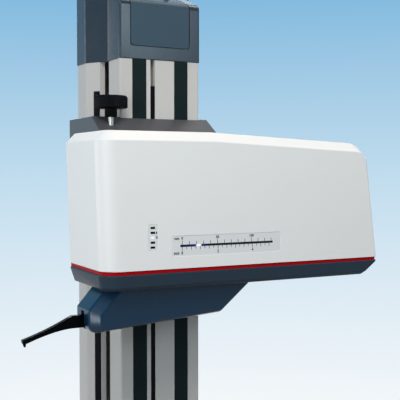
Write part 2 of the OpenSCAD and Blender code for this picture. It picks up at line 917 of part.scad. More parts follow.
// The cover's outer form, with every wall moved in by inset
module cover_form(inset, low, back) {
    shift = chamfer_shift * inset;
    front = unit_y + inset;
    top = cover_top - inset;
    shoulder = unit_z + shoulder_h - shift;
    upper_y = unit_y + chamfer + shift;
    left_x = unit_x - left_lean;
    upper_x = left_x + chamfer + shift;
    centre_y = unit_y + corner_r;
    front_c = end_centre(end_r, shoulder_h);
    top_c = end_centre(end_top_r, shoulder_h + chamfer);
    bar = 2;
    end_x = right_x - inset / cos(lean_a) - (low - cover_z) * tan(lean_a);
    front_x1 = front_c[0] - end_setback;
    front_z1 = front_c[1] + end_setback * tan(fall_a);
    sill = 0.1;
    hull() {
        bar_z(unit_x + corner_r, centre_y, low, low + bar, corner_r - inset, $fn = 64);
        bar_z(left_x + corner_r, centre_y, shoulder - bar, shoulder, corner_r - inset, $fn = 64);
        bar_z(left_x + corner_r, centre_y, top - bar, top, corner_r - chamfer - shift, $fn = 64);
        block([unit_x + inset, back - bar, low], [unit_x + inset + bar, back, low + bar]);
        block([left_x + inset, back - bar, shoulder - bar], [left_x + inset + bar, back, shoulder]);
        block([upper_x, back - bar, top - bar], [upper_x + bar, back, top]);
        block([unit_x + level_l - bar, front, shoulder - bar], [unit_x + level_l, back, shoulder]);
        block([unit_x + level_l - bar, upper_y, top - bar], [unit_x + level_l, back, top]);
        bar_y(front_x1, front, front + bar, front_z1, end_r - inset, $fn = 64);
        bar_y(front_c[0], front + end_setback, back, front_c[1], end_r - inset, $fn = 64);
        bar_y(top_c[0], upper_y, back, top_c[1], end_top_r - inset, $fn = 64);
        block([end_x - end_setback - bar, front, low], [end_x - end_setback, back, low + sill]);
        block([end_x - bar, front + end_setback, low], [end_x, back, low + sill]);
    }
}

// The unit's outline in plan at the red line, moved in by inset
module unit_plan(inset) {
    x0 = unit_x + inset;
    x1 = right_x - inset;
    y0 = unit_y + inset;
    r = corner_r - min(inset, corner_r - over);
    polygon([
        [x0 + r, y0], [x1 - end_setback, y0], [x1, y0 + end_setback],
        [x1, back_y], [x0, back_y], [x0, y0 + r]]);
    translate([x0 + r, y0 + r]) circle(r, $fn = 64);
}

module unit_back() {
    inset = cover_wall + seat_fit;
    color("gray") difference() {
        intersection() {
            cover_form(inset, cover_z, back_y);
            block([unit_x, back_y - back_t, cover_z], [right_x, back_y, cover_top]);
        }
        for (x = [-1, 1], z = [-1, 1]) {
            bar_y(x * bolt_x, back_y - back_t - over, back_y + over, saddle_z + z * bolt_z,
                  bolt_r + run_fit);
        }
        bar_y(socket_x, back_y - back_t - over, back_y + over, socket_z, socket_body_r);
    }
}

module unit_base() {
    bar = 2;
    round_in = 4;
    corner_x = unit_x + corner_r;
    corner_y = unit_y + corner_r;
    low_r = corner_r - base_taper;
    low_x = right_x - base_slant;
    color("darkslategray") difference() {
        hull() {
            bar_z(corner_x, corner_y, unit_z - bar, unit_z, corner_r, $fn = 64);
            bar_z(corner_x, corner_y, base_z + round_in, base_z + round_in + bar, low_r + round_in, $fn = 64);
            bar_z(corner_x, corner_y, base_z, base_z + bar, low_r, $fn = 64);
            block([unit_x, back_y - bar, unit_z - bar], [right_x, back_y, unit_z]);
            block([right_x - end_setback - bar, unit_y, unit_z - bar],
                  [right_x - end_setback, back_y, unit_z]);
            block([right_x - bar, unit_y + end_setback, unit_z - bar], [right_x, back_y, unit_z]);
            block([unit_x + base_taper, back_y - bar, base_z], [low_x, back_y, base_z + bar]);
            block([low_x - bar, unit_y + base_taper, base_z], [low_x, back_y, base_z + bar]);
            block([low_x - bar, unit_y + base_taper - round_in, base_z + round_in],
                  [low_x + round_in, back_y, base_z + round_in + bar]);
        }
        translate([0, 0, floor_z]) linear_extrude(base_h) intersection() {
            unit_plan(base_wall);
            translate([unit_x, unit_y]) square([unit_l - base_slant - base_wall, unit_d - base_wall]);
        }
        block([neck_slot_x0, axis_y - neck_slot_w / 2, base_z - over],
              [neck_slot_x1, axis_y + neck_slot_w / 2, floor_z + over]);
    }
}

module trim_line() {
    color("firebrick") translate([0, 0, unit_z]) linear_extrude(trim_h) difference() {
        unit_plan(trim_setback);
        intersection() {
            unit_plan(base_wall);
            translate([unit_x, unit_y]) square([unit_l, unit_d - base_wall]);
        }
    }
}

module window_plate(x, z, w, h, from, to, grow = 0) {
    upright(from, to) translate([unit_x + x + w / 2, unit_z + z + h / 2])
        round_rect(w + 2 * grow, h + 2 * grow, window_r + grow);
}

module housing_cover() {
    led_slot = 6;
    level_slot_in = 2;
    window_fit = 0.05;
    color("whitesmoke") difference() {
        cover_form(0, cover_z, back_y);
        cover_form(cover_wall, cover_z - over, back_y + over);
        window_plate(scale_x, scale_z, scale_l, scale_h, unit_y - over, unit_y + window_t, window_fit);
        window_plate(level_x, level_z, level_w, level_h, unit_y - over, unit_y + window_t, window_fit);
        block([led_x - led_slot, unit_y - over, led_z - led_slot / 2],
              [led_x + (led_count - 1) * led_step + led_slot, unit_y + cover_wall + over,
               led_z + led_slot / 2]);
        block([unit_x + level_x + level_slot_in, unit_y - over, unit_z + level_z + level_slot_in],
              [unit_x + level_x + level_w - level_slot_in, unit_y + cover_wall + over,
               unit_z + level_z + level_h - level_slot_in]);
    }
}

module scale_window() {
    color("gainsboro") window_plate(scale_x, scale_z, scale_l, scale_h, unit_y, unit_y + window_t);
}

module level_window() {
    color("gainsboro") window_plate(level_x, level_z, level_w, level_h, unit_y, unit_y + window_t);
}

module led_board() {
    y = unit_y + cover_wall;
    led_gap = 0.4;
    led_h = cover_wall - window_t - led_gap;
    margin = 3;
    color("green") {
        block([unit_x + level_x - margin, y, unit_z + scale_z - margin],
              [unit_x + scale_x + scale_l, y + board_t, unit_z + level_z + level_h + margin]);
        for (i = [0 : led_count - 1]) bar_y(led_x + i * led_step, y - led_h, y + board_t / 2, led_z, led_r);
        for (i = [0 : level_count - 1]) {
            bar_y(unit_x + level_x + level_w / 2, y - led_h, y + board_t / 2,
                  unit_z + level_z + level_h / 2 + (i - (level_count - 1) / 2) * level_step, led_r);
        }
    }
}

module control_board() {
    chip_y = board_y - board_t / 2;
    plug_l = 40;
    plug_t = 10;
    plug_h = 9;
    color("darkgreen") {
        block([board_x0, board_y - board_t, board_z0], [board_x1, board_y, board_z1]);
        for (x = [board_x0 + board_pillar_in, board_x1 - board_pillar_in],
             z = [board_z0 + board_pillar_in, board_z1 - board_pillar_in]) {
            bar_y(x, board_y - board_t / 2, back_y - back_t, z, board_pillar_r);
        }
        for (i = [0 : 3]) {
            x = board_x0 + board_pillar_in + chip_w / 2 + i * chip_step;
            block([x, chip_y - chip_t, board_z0 + chip_w], [x + chip_w, chip_y, board_z0 + 2 * chip_w]);
        }
        block([board_x0 + plug_l / 2, chip_y - plug_t, board_z1 - board_pillar_in - plug_h],
              [board_x0 + plug_l * 1.5, chip_y, board_z1 - board_pillar_in]);
    }
}

module cable_socket() {
    flange_t = 3;
    color("silver") difference() {
        union() {
            bar_y(socket_x, back_y, back_y + flange_t, socket_z, socket_r);
            bar_y(socket_x, back_y - back_t - 4, back_y + over, socket_z, socket_body_r - seat_fit);
        }
        bar_y(socket_x, back_y + flange_t - socket_recess, back_y + flange_t + over, socket_z,
              socket_body_r - 2);
    }
}

// Traverse

module guide_beam() {
    color("black") block([beam_left, axis_y - beam_w / 2, beam_z],
                         [beam_right, axis_y + beam_w / 2, beam_top]);
}

module beam_supports() {
    color("gray") for (x = [beam_left, beam_right - support_l]) {
        block([x, axis_y - beam_w / 2 - 4, floor_z], [x + support_l, axis_y + beam_w / 2 + 4, beam_z]);
    }
}

module screw_supports() {
    color("gray") for (x = [screw_left - screw_block_t, screw_right]) difference() {
        block([x, screw_y - nut_w / 2, floor_z],
              [x + screw_block_t, screw_y + nut_w / 2, screw_z + bearing_r + 4]);
        bar_x(x - over, x + screw_block_t + over, screw_y, screw_z, bearing_r);
    }
}

module screw_bearings() {
    color("silver") for (x = [screw_left - screw_block_t, screw_right]) difference() {
        bar_x(x, x + screw_block_t, screw_y, screw_z, bearing_r);
        bar_x(x - over, x + screw_block_t + over, screw_y, screw_z, journal_r + run_fit);
    }
}

module motor_bracket() {
    half = traverse_motor_w / 2;
    foot_l = 22;
    color("gray") difference() {
        union() {
            block([bracket_x, screw_y - half, floor_z],
                  [bracket_x + bracket_t, screw_y + half, screw_z + half]);
            block([bracket_x, screw_y - half, floor_z],
                  [bracket_x + foot_l, screw_y + half, floor_z + bracket_t]);
        }
        bar_x(bracket_x - over, bracket_x + bracket_t + over, screw_y, screw_z, coupling_r + 1);
    }
}

module traverse_motor() {
    end_cap = 8;
    rib = 1.2;
    w = traverse_motor_w;
    x = bracket_x + bracket_t;
    color("black") translate([x, screw_y, screw_z]) rotate([90, 0, 90]) difference() {
        union() {
            linear_extrude(end_cap) round_rect(w, w, 4);
            linear_extrude(traverse_motor_l) round_rect(w - 2 * rib, w - 2 * rib, 5);
            translate([0, 0, traverse_motor_l - end_cap]) linear_extrude(end_cap) round_rect(w, w, 4);
        }
        translate([0, 0, -over]) cylinder(r = shaft_r + run_fit, h = traverse_motor_l / 2 + over);
    }
}

module slot_brushes() {
    edge = neck_w / 2 + brush_gap;
    color("black") for (side = [-1, 1]) {
        y = axis_y + side * (edge + neck_slot_w / 2) / 2;
        translate([(neck_slot_x0 + neck_slot_x1) / 2, y, base_z + brush_t])
            cube([neck_slot_x1 - neck_slot_x0, neck_slot_w / 2 - edge, brush_t], center = true);
    }
}

module traverse_screw() {
    color("silver") {
        bar_x(screw_left, screw_right, screw_y, screw_z, screw_r);
        bar_x(screw_left - screw_block_t, screw_left, screw_y, screw_z, journal_r);
        bar_x(screw_right, coupling_x + coupling_l / 2 - 1, screw_y, screw_z, journal_r);
    }
}

module motor_coupling() {
    cut = 0.8;
    color("silver") difference() {
        bar_x(coupling_x, coupling_x + coupling_l, screw_y, screw_z, coupling_r);
        bar_x(coupling_x - over, coupling_x + coupling_l / 2, screw_y, screw_z, journal_r);
        bar_x(coupling_x + coupling_l / 2 - over, coupling_x + coupling_l + over, screw_y, screw_z, shaft_r);
        for (i = [1 : 3]) {
            x = coupling_x + i * coupling_l / 4 - cut / 2;
            translate([x, screw_y - coupling_r, screw_z + journal_r + over])
                cube([cut, 2 * coupling_r, coupling_r]);
        }
    }
}

module motor_shaft() {
    from = coupling_x + coupling_l / 2 + 1;
    to = bracket_x + bracket_t + traverse_motor_l / 2 - 2;
    color("silver") bar_x(from, to, screw_y, screw_z, shaft_r);
}

module traverse_slide() {
    x0 = slide_x - slide_l / 2;
    x1 = slide_x + slide_l / 2;
    color("lightgray") difference() {
        union() {
            block([x0, axis_y - ring_out, ring_low - slide_wall],
                  [x1, axis_y + ring_out, ring_top + slide_wall]);
            block([slide_x - neck_l / 2, axis_y - neck_w / 2, probe_top],
                  [slide_x + neck_l / 2, axis_y + neck_w / 2, ring_low]);
        }
        block([x0 - over, axis_y - ring_in, ring_low], [x1 + over, axis_y + ring_in, ring_top]);
    }
}

module slide_pads() {
    pad_l = 14;
    pad_h = beam_h - 10;
    color("white") for (end = [-1, 1]) {
        x = slide_x + end * (slide_l / 2 - pad_l / 2 - 2);
        translate([x, axis_y, ring_top - pad_t / 2]) cube([pad_l, beam_w - 6, pad_t], center = true);
        for (side = [-1, 1]) {
            translate([x, axis_y + side * (ring_in - pad_t / 2), screw_z])
                cube([pad_l, pad_t, pad_h], center = true);
        }
    }
}

module traverse_nut() {
    color("goldenrod") difference() {
        block([slide_x - nut_l / 2, axis_y + ring_out, screw_z - nut_w / 2],
              [slide_x + nut_l / 2, axis_y + ring_out + nut_w, screw_z + nut_w / 2]);
        bar_x(slide_x - nut_l / 2 - over, slide_x + nut_l / 2 + over, screw_y, screw_z, screw_r + run_fit);
    }
}

// Probe

// The probe's outline in X and Z, with its nose, its floor and its top moved
module probe_outline(nose_in, floor_in, top) {
    slope = nose_slope_l / nose_slope_h;
    rise = heel_rise / (probe_l - chin_r);
    tail_slope = probe_tail / (probe_h - heel_rise);
    r = max(chin_r - min(nose_in, floor_in), over);
    x = nose_x + nose_in;
    z = chin_z + floor_in;
    top_nose = probe_top - nose_slope_h - nose_in * chamfer_shift;
    polygon([
        [x, z + r],
        [x, top_nose],
        [x + (top - top_nose) * slope, top],
        [heel_x - floor_in / 2 + (top - chin_z - heel_rise - floor_in) * tail_slope, top],
        [heel_x - floor_in / 2, z + heel_rise],
        [x + r, z + rise * (r - chin_r + nose_in)]]);
    translate([x + r, z + r]) circle(r);
}

module probe_plate() {
    slope = nose_slope_l / nose_slope_h;
    x0 = nose_x + cavity_in + (nose_slope_h + cavity_in * chamfer_shift) * slope + seat_fit;
    past_heel = 12;
    x1 = heel_x + past_heel;
    half = cavity_w / 2 - seat_fit;
    color("gray") block([x0, axis_y - half, plate_z], [x1, axis_y + half, probe_top]);
}

module probe_screws() {
    screw_in = 10;
    screw_head_h = 3;
    screw_head_r = 4;
    color("silver") for (x = [-1, 1]) {
        bar_z(slide_x + x * (neck_l / 2 - screw_in), axis_y, plate_z - screw_head_h, plate_z, screw_head_r);
    }
}

module probe_housing() {
    color("darkslategray") difference() {
        hull() {
            upright(axis_y - nose_w / 2, axis_y + nose_w / 2) probe_outline(0, 0, probe_top);
            upright(axis_y - probe_w / 2, axis_y + probe_w / 2)
                probe_outline(nose_bevel, floor_bevel, probe_top);
        }
        upright(axis_y - cavity_w / 2, axis_y + cavity_w / 2)
            probe_outline(cavity_in, floor_bevel + 1, probe_top + over);
        upright(axis_y - nose_w / 2 + probe_wall, axis_y + nose_w / 2 - probe_wall)
            probe_outline(probe_wall, probe_wall, plate_z);
        block([nose_x - over, axis_y - slit_w / 2, chin_z - over],
              [nose_x + slit_l, axis_y + slit_w / 2, slit_top]);
    }
}

module pivot_yoke() {
    x0 = pivot_x - yoke_w / 2;
    x1 = pivot_x + yoke_w / 2;
    half = yoke_in + yoke_t;
    bridge_z = pivot_z + 10;
    leg_z = pivot_z - 8;
    color("gray") difference() {
        block([x0, axis_y - half, leg_z], [x1, axis_y + half, plate_z]);
        block([x0 - over, axis_y - yoke_in, leg_z - over], [x1 + over, axis_y + yoke_in, bridge_z]);
        bar_y(pivot_x, axis_y - half - over, axis_y + half + over, pivot_z, pivot_bearing_r);
    }
}

module pivot_bearings() {
    color("silver") for (side = [-1, 1]) {
        y = axis_y + side * (yoke_in + yoke_t / 2);
        difference() {
            bar_y(pivot_x, y - yoke_t / 2, y + yoke_t / 2, pivot_z, pivot_bearing_r);
            bar_y(pivot_x, y - yoke_t, y + yoke_t, pivot_z, pivot_d / 2 + run_fit);
        }
    }
}

module read_head() {
    x0 = holder_end + weight_l + 8;
    half = 12;
    color("black") block([x0, axis_y - half, weight_z - 8], [x0 + 1.5 * half, axis_y + half, plate_z]);
}

module arm_holder() {
    mid = 6;
    color("lightgray") difference() {
        union() {
            upright(axis_y - holder_t / 2, axis_y + holder_t / 2) polygon([
                [holder_x, arm_low + 4], [holder_x, arm_z - 1], [pivot_x, pivot_z + mid],
                [holder_end, weight_z + mid], [holder_end, weight_z - mid], [pivot_x, pivot_z - mid]]);
            bar_y(pivot_x, axis_y - holder_t / 2 - 2, axis_y + holder_t / 2 + 2, pivot_z, mid + 1);
        }
        bar_y(pivot_x, axis_y - holder_t, axis_y + holder_t, pivot_z, pivot_d / 2);
    }
}

module pivot_pin() {
    half = yoke_in + yoke_t;
    color("silver") bar_y(pivot_x, axis_y - half, axis_y + half, pivot_z, pivot_d / 2);
}

module counterweight() {
    color("goldenrod") bar_x(holder_end, holder_end + weight_l, axis_y, weight_z, weight_d / 2);
}

module angle_scale() {
    x = holder_end + weight_l;
    color("lightblue") block([x, axis_y - 5, weight_z - 7], [x + 1.5, axis_y + 5, weight_z + 7]);
}

module probe_arm() {
    root_x = nose_x - arm_root_l;
    end_x = arm_tip_x + 2 * stylus_root_r + tip_edge;
    end_z = arm_tip_z - tip_h;
    sag = 0.29;
    bow = 1.6;
    steps = 10;
    upper = [for (i = [0 : steps]) let (s = i / steps)
        [root_x + (arm_tip_x - root_x) * s, arm_z - arm_fall * (s + sag * s * (1 - s))]];
    lower = [for (i = [steps : -1 : 0]) let (s = i / steps)
        [root_x + (end_x - root_x) * s, arm_low + (end_z - arm_low) * pow(s, bow)]];
    color("black") difference() {
        upright(axis_y - arm_t / 2, axis_y + arm_t / 2) polygon(concat(
            [[holder_x, arm_low], [holder_x, arm_z]], upper, [[arm_tip_x + tip_edge, end_z]], lower));
        stylus_form();
    }
}

// The stylus cone, set into the end of the arm
module stylus_form() {
    point_r = 1.1;
    set_in = 0.6;
    stylus_lean = 6;
    translate([arm_tip_x + stylus_root_r + tip_edge, axis_y, arm_tip_z - tip_h + set_in])
        rotate([0, 180 - stylus_lean, 0])
            cylinder(r1 = stylus_root_r, r2 = point_r, h = stylus_h - tip_h + set_in);
}

module stylus_tip() {
    color("silver") stylus_form();
}

column_foot();
column_screws();
column_profile();
guideway(-1);  // guideway_left
guideway(1);  // guideway_right
slot_filler();
sealing_lip();
lower_bearing();
motor_plate();
upper_bearing();
lift_motor();
top_cap();
cap_panel();
cap_screws();
lift_screw();
carriage_saddle();
slide_shoes();
cheek_left();
cheek_right();
lift_nut();
clamp_block();
carriage_shroud();
unit_bolts();
unit_back();
unit_base();
trim_line();
housing_cover();
scale_window();
level_window();
led_board();
control_board();
cable_socket();
guide_beam();
beam_supports();
screw_supports();
screw_bearings();
motor_bracket();
traverse_motor();
slot_brushes();
traverse_screw();
motor_coupling();
motor_shaft();
traverse_slide();
slide_pads();
traverse_nut();
probe_plate();
probe_screws();
probe_housing();
pivot_yoke();
pivot_bearings();
read_head();
arm_holder();
pivot_pin();
counterweight();
angle_scale();
probe_arm();
stylus_tip();
clamp_knob();
clamp_stud();
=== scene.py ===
# %% [markdown]
# A surface roughness tester is a drive unit that pulls a fine stylus along a workpiece.
# This one rides on a motorised column: a white housing with a slate base, a slate-blue probe under it,
# a black stylus arm and a clamping knob behind. The solids already have their true shapes and places,
# so this lesson gives them soft edges, real finishes, the printed scale, threads and knurling.

# %% Load the solids
import json
import math

import bmesh
import bpy
from mathutils import Matrix, Vector


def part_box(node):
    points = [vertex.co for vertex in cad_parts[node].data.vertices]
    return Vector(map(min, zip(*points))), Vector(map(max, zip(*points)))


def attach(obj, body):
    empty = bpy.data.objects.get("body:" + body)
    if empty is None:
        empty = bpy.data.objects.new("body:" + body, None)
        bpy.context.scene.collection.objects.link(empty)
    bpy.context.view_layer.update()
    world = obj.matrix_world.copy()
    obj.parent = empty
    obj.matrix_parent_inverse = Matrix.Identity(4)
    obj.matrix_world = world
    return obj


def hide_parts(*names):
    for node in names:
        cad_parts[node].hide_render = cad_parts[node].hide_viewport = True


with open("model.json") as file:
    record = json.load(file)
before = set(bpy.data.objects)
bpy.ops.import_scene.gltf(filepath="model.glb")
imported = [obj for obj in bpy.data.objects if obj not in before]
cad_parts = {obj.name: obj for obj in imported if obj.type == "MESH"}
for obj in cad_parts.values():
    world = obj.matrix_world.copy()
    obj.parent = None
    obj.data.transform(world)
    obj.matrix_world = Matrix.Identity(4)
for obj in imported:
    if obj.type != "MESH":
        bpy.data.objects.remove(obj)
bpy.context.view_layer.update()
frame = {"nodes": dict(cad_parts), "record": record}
MM = 0.001
slot_of = {part["node"]: part["material_slot"] for part in frame["record"]["subparts"]}
body_of = {node: body for body, held in frame["record"]["behaviour"]["bodies"].items() for node in held}

# %% [markdown]
# The camera could be framed by eye, but the printed scale, the column's edges and the cap give enough
# known lengths to work out where it stood: low, a little to the left, and level with the drive unit.

# %% Camera
camera_data = bpy.data.cameras.new("photo_camera")
camera_data.lens = 73.1
camera_data.sensor_width = 36.0
camera = bpy.data.objects.new("photo_camera", camera_data)
camera.location = (-0.4885, -1.11825, 0.54612)
camera_look = Vector((0.4617, 0.8863, -0.0364))
camera.rotation_euler = camera_look.to_track_quat("-Z", "Y").to_euler()
bpy.context.scene.collection.objects.link(camera)
bpy.context.scene.camera = camera
bpy.context.scene.view_settings.view_transform = "Standard"
print("camera at", [round(c, 3) for c in camera.location])

# %% [markdown]
# Colours are easiest to judge as screen values from 0 to 255, but shaders work in linear light.
# One small function turns the first into the second, so every colour below can be read at sight.

# %% Colour helper
def tone(red, green, blue):
    def linear(value):
        share = value / 255
        return share / 12.92 if share <= 0.04045 else ((share + 0.055) / 1.055) ** 2.4
    return (linear(red), linear(green), linear(blue), 1.0)


print("middle grey is", round(tone(128, 128, 128)[0], 3), "in linear light")

# %% [markdown]
# The background is sky blue above and nearly white below. A painted backdrop could show that, but it
# would hide the object from behind, so the world itself carries the gradient, by the height of the view.
# Only rays that show the background see it. The light that the world sheds is plain and nearly white.
# World and shader nodes are made in the same way: add one, choose its options, fill its sockets. Two
# helpers keep a node to a line or two, so that a recipe reads from top to bottom.

# %% Node helpers
def fill(tree, node, sockets):
    for key, value in sockets.items():
        if isinstance(value, bpy.types.NodeSocket):
            tree.links.new(value, node.inputs[key])
        else:
            node.inputs[key].default_value = value


def add_node(tree, kind, sockets=None, **options):
    made = tree.nodes.new(kind)
    for key, value in options.items():
        setattr(made, key, value)
    fill(tree, made, sockets or {})
    return made


sky = bpy.data.worlds.new("studio_sky")
sky.use_nodes = True
sky_tree = sky.node_tree
sky_tree.nodes.clear()
bpy.context.scene.world = sky
print("world:", sky.name)

# %% Sky
SKY_BOTTOM, SKY_TOP = -0.30, 0.24
view_way = add_node(sky_tree, "ShaderNodeTexCoord")
view_split = add_node(sky_tree, "ShaderNodeSeparateXYZ", {0: view_way.outputs["Generated"]})
view_height = add_node(sky_tree, "ShaderNodeMapRange", {
    "Value": view_split.outputs["Z"], "From Min": SKY_BOTTOM, "From Max": SKY_TOP})
sky_ramp = add_node(sky_tree, "ShaderNodeValToRGB", {0: view_height.outputs[0]})
sky_ramp.color_ramp.elements[0].color = tone(247, 249, 251)
sky_ramp.color_ramp.elements[1].position = 0.93
sky_ramp.color_ramp.elements[1].color = tone(132, 187, 223)
sky_ramp.color_ramp.elements.new(0.53).color = tone(194, 221, 238)
ray = add_node(sky_tree, "ShaderNodeLightPath")
seen_or_gloss = add_node(sky_tree, "ShaderNodeMath", {
    0: ray.outputs["Is Camera Ray"], 1: ray.outputs["Is Glossy Ray"]}, operation="MAXIMUM")
shows_sky = add_node(sky_tree, "ShaderNodeMath", {
    0: seen_or_gloss.outputs[0], 1: ray.outputs["Is Transmission Ray"]}, operation="MAXIMUM")
sky_light = add_node(sky_tree, "ShaderNodeBackground", {
    "Color": (1.0, 0.985, 0.965, 1.0), "Strength": 0.09})
sky_shown = add_node(sky_tree, "ShaderNodeBackground", {"Color": sky_ramp.outputs[0]})
sky_mix = add_node(sky_tree, "ShaderNodeMixShader", {
    0: shows_sky.outputs[0], 1: sky_light.outputs[0], 2: sky_shown.outputs[0]})
add_node(sky_tree, "ShaderNodeOutputWorld", {"Surface": sky_mix.outputs[0]})
print("world nodes:", len(sky_tree.nodes))

# %% [markdown]
# The station stands on a bench, which lies below the picture. A pale round floor takes its place. A
# wide plane would draw a horizon line through the gradient and throw light up at the column, so the
# floor is small and its edge fades out through the alpha of its paint.

# %% Floor
FLOOR_R = 0.52
FADE_FROM = 0.12
FLOOR_DROP = 0.4 * MM


def new_paint(name):
    made = bpy.data.materials.new(name)
    made.use_nodes = True
    return made, made.node_tree, made.node_tree.nodes["Principled BSDF"]


floor_paint, floor_tree, floor_shader = new_paint("pale_floor")
floor_place = add_node(floor_tree, "ShaderNodeTexCoord")
floor_reach = add_node(floor_tree, "ShaderNodeVectorMath", {0: floor_place.outputs["Object"]},
                       operation="LENGTH")
floor_fade = add_node(floor_tree, "ShaderNodeMapRange", {
    "Value": floor_reach.outputs["Value"], "From Min": FADE_FROM, "From Max": FLOOR_R,
    "To Min": 1.0, "To Max": 0.0}, interpolation_type="SMOOTHSTEP")
fill(floor_tree, floor_shader, {
    "Base Color": tone(222, 226, 230), "Roughness": 0.75, "Alpha": floor_fade.outputs[0]})
floor_build = bmesh.new()
bmesh.ops.create_circle(floor_build, cap_ends=True, segments=96, radius=FLOOR_R)
floor_mesh = bpy.data.meshes.new("floor")
floor_build.to_mesh(floor_mesh)
floor_build.free()
floor_mesh.materials.append(floor_paint)
floor = bpy.data.objects.new("floor", floor_mesh)
floor.location.z = -FLOOR_DROP
bpy.context.scene.collection.objects.link(floor)
print("floor radius:", FLOOR_R)

# %% [markdown]
# Soft boxes light the station. One stands high in front, where the chamfer catches more of it than the
# front does and the unit shades the column below. A low one at the left front brightens the round
# corner, and one at the left behind lights the left ends. Warm ones at the right and overhead tint the
# chamfer and the crown of the cap, and a small bluish card gives the face of the cap its sheen. One
# behind keeps the back readable. One big lamp would be simpler, but then every face turned the same way
# would have the same tone. The camera doesn't see the lamps themselves.

# %% Lights
def soft_box(name, place, target, size, power, colour):
    lamp = bpy.data.lights.new(name, "AREA")
    lamp.shape = "RECTANGLE"
    lamp.size, lamp.size_y = size
    lamp.energy = power
    lamp.color = colour
    made = bpy.data.objects.new(name, lamp)
    made.location = place
    made.rotation_euler = (Vector(target) - Vector(place)).to_track_quat("-Z", "Y").to_euler()
    made.visible_camera = False
    bpy.context.scene.collection.objects.link(made)


MIDDLE = (0.0, -0.1, 0.5)
CAP_FACE = (0.0, -0.02, 0.78)
COOL = (0.895, 0.96, 1.0)
PLAIN = (0.97, 0.985, 1.0)
SUNLIGHT = (1.0, 0.98, 0.96)
WARM = (1.0, 0.94, 0.88)
LAMPLIGHT = (1.0, 0.80, 0.60)
SKYLIGHT = (0.72, 0.90, 1.0)
soft_box("front_box", (-0.66, -1.51, 2.06), MIDDLE, (1.0, 1.0), 24.8, SUNLIGHT)
soft_box("corner_box", (-1.8, -1.36, 0.69), MIDDLE, (0.7, 0.7), 19, COOL)
soft_box("left_box", (-1.76, 1.14, 0.73), MIDDLE, (1.0, 1.0), 15.5, COOL)
soft_box("right_box", (1.69, -0.72, 1.76), MIDDLE, (1.0, 1.0), 12.5, WARM)
soft_box("overhead_box", (0.52, 0.15, 1.95), MIDDLE, (0.6, 0.6), 5.5, LAMPLIGHT)
soft_box("rear_box", (0.6, 1.9, 1.2), MIDDLE, (1.0, 1.1), 14, PLAIN)
soft_box("sheen_card", (0.68, -1.94, 1.2), CAP_FACE, (0.45, 0.5), 6.2, SKYLIGHT)
print("lights:", len(bpy.data.lights))

# %% [markdown]
# Every finish starts from the same few nodes: the object's own coordinates in metres, a noise at the
# right grain, a small spread of colour, a spread of roughness, and a bump that is a fraction of a
# millimetre deep. Written out for each finish, they would repeat themselves, so one helper takes what
# differs between enamel, anodised metal and moulded plastic: colour, grain and gloss.

# %% Finish helper
CLOUD_SCALE = 14.0
NOISE_LOW, NOISE_HIGH = 0.3, 0.7
ROUGH_SPREAD = 0.08
COAT_ROUGH = 0.12
finishes = {}


def shaded(colour, share):
    return (colour[0] * share, colour[1] * share, colour[2] * share, 1.0)


def finish(name, colour, rough, grain, spread, bump, metallic=0.0, stretch=(1.0, 1.0, 1.0),
           depth=0.08 * MM, coat=0.0, specular=0.5, clear=0.0):
    made, tree, shader = new_paint(name)
    place = add_node(tree, "ShaderNodeTexCoord").outputs["Object"]
    scaling = add_node(tree, "ShaderNodeMapping", {"Vector": place, "Scale": stretch})
    fine = add_node(tree, "ShaderNodeTexNoise", {
        "Vector": scaling.outputs[0], "Scale": grain, "Detail": 3.0})
    broad = add_node(tree, "ShaderNodeTexNoise", {"Vector": place, "Scale": CLOUD_SCALE, "Detail": 4.0})
    halved = add_node(tree, "ShaderNodeMath", {0: broad.outputs["Fac"], 1: 0.5}, operation="MULTIPLY")
    both = add_node(tree, "ShaderNodeMath", {0: fine.outputs["Fac"], 1: 0.5, 2: halved.outputs[0]},
                    operation="MULTIPLY_ADD")
    shades = add_node(tree, "ShaderNodeValToRGB", {0: both.outputs[0]})
    for element, position, share in zip(shades.color_ramp.elements, (NOISE_LOW, NOISE_HIGH),
                                        (1.0 - spread, 1.0 + spread)):
        element.position = position
        element.color = shaded(colour, share)
    gloss = add_node(tree, "ShaderNodeMapRange", {
        "Value": both.outputs[0], "From Min": NOISE_LOW, "From Max": NOISE_HIGH,
        "To Min": max(rough - ROUGH_SPREAD, 0.02), "To Max": min(rough + ROUGH_SPREAD, 1.0)})
    relief = add_node(tree, "ShaderNodeBump", {
        "Height": fine.outputs["Fac"], "Strength": bump, "Distance": depth})
    fill(tree, shader, {
        "Base Color": shades.outputs[0], "Roughness": gloss.outputs[0], "Normal": relief.outputs[0],
        "Metallic": metallic, "Specular IOR Level": specular, "Transmission Weight": clear,
        "Coat Weight": coat, "Coat Roughness": COAT_ROUGH})
    finishes[name] = made


print("clouds in the finishes are about", round(1 / CLOUD_SCALE / MM), "mm across")

# %% [markdown]
# Powder enamel on the housing and the cap has a faint orange peel. The base and the probe are castings
# under a smoother paint, and the foot is left as rough as it came from the sand, so its grain is coarse
# and deep. One grey paint for all would be quicker, but each of these catches the light in its own way.

# %% Painted finishes
finish("cover_white", tone(237, 237, 236), 0.50, grain=1300, spread=0.012, bump=0.10)
finish("base_slate", tone(47, 61, 74), 0.28, grain=1500, spread=0.05, bump=0.12, specular=0.05)
finish("probe_slate", tone(10, 45, 69), 0.25, grain=1500, spread=0.05, bump=0.10, specular=0.26)
finish("trim_red", tone(164, 13, 20), 0.40, grain=1200, spread=0.05, bump=0.05, specular=0.04)
finish("cap_slate", tone(32, 42, 53), 0.27, grain=1700, spread=0.05, bump=0.2, specular=0.42)
finish("panel_slate", tone(56, 75, 88), 0.40, grain=1900, spread=0.04, bump=0.12, specular=0.15)
finish("shroud_grey", tone(79, 79, 83), 0.34, grain=1700, spread=0.05, bump=0.22, specular=0.2)
finish("foot_iron", tone(72, 76, 84), 0.48, grain=420, spread=0.08, bump=0.55, depth=0.25 * MM)
print("painted finishes:", len(finishes))

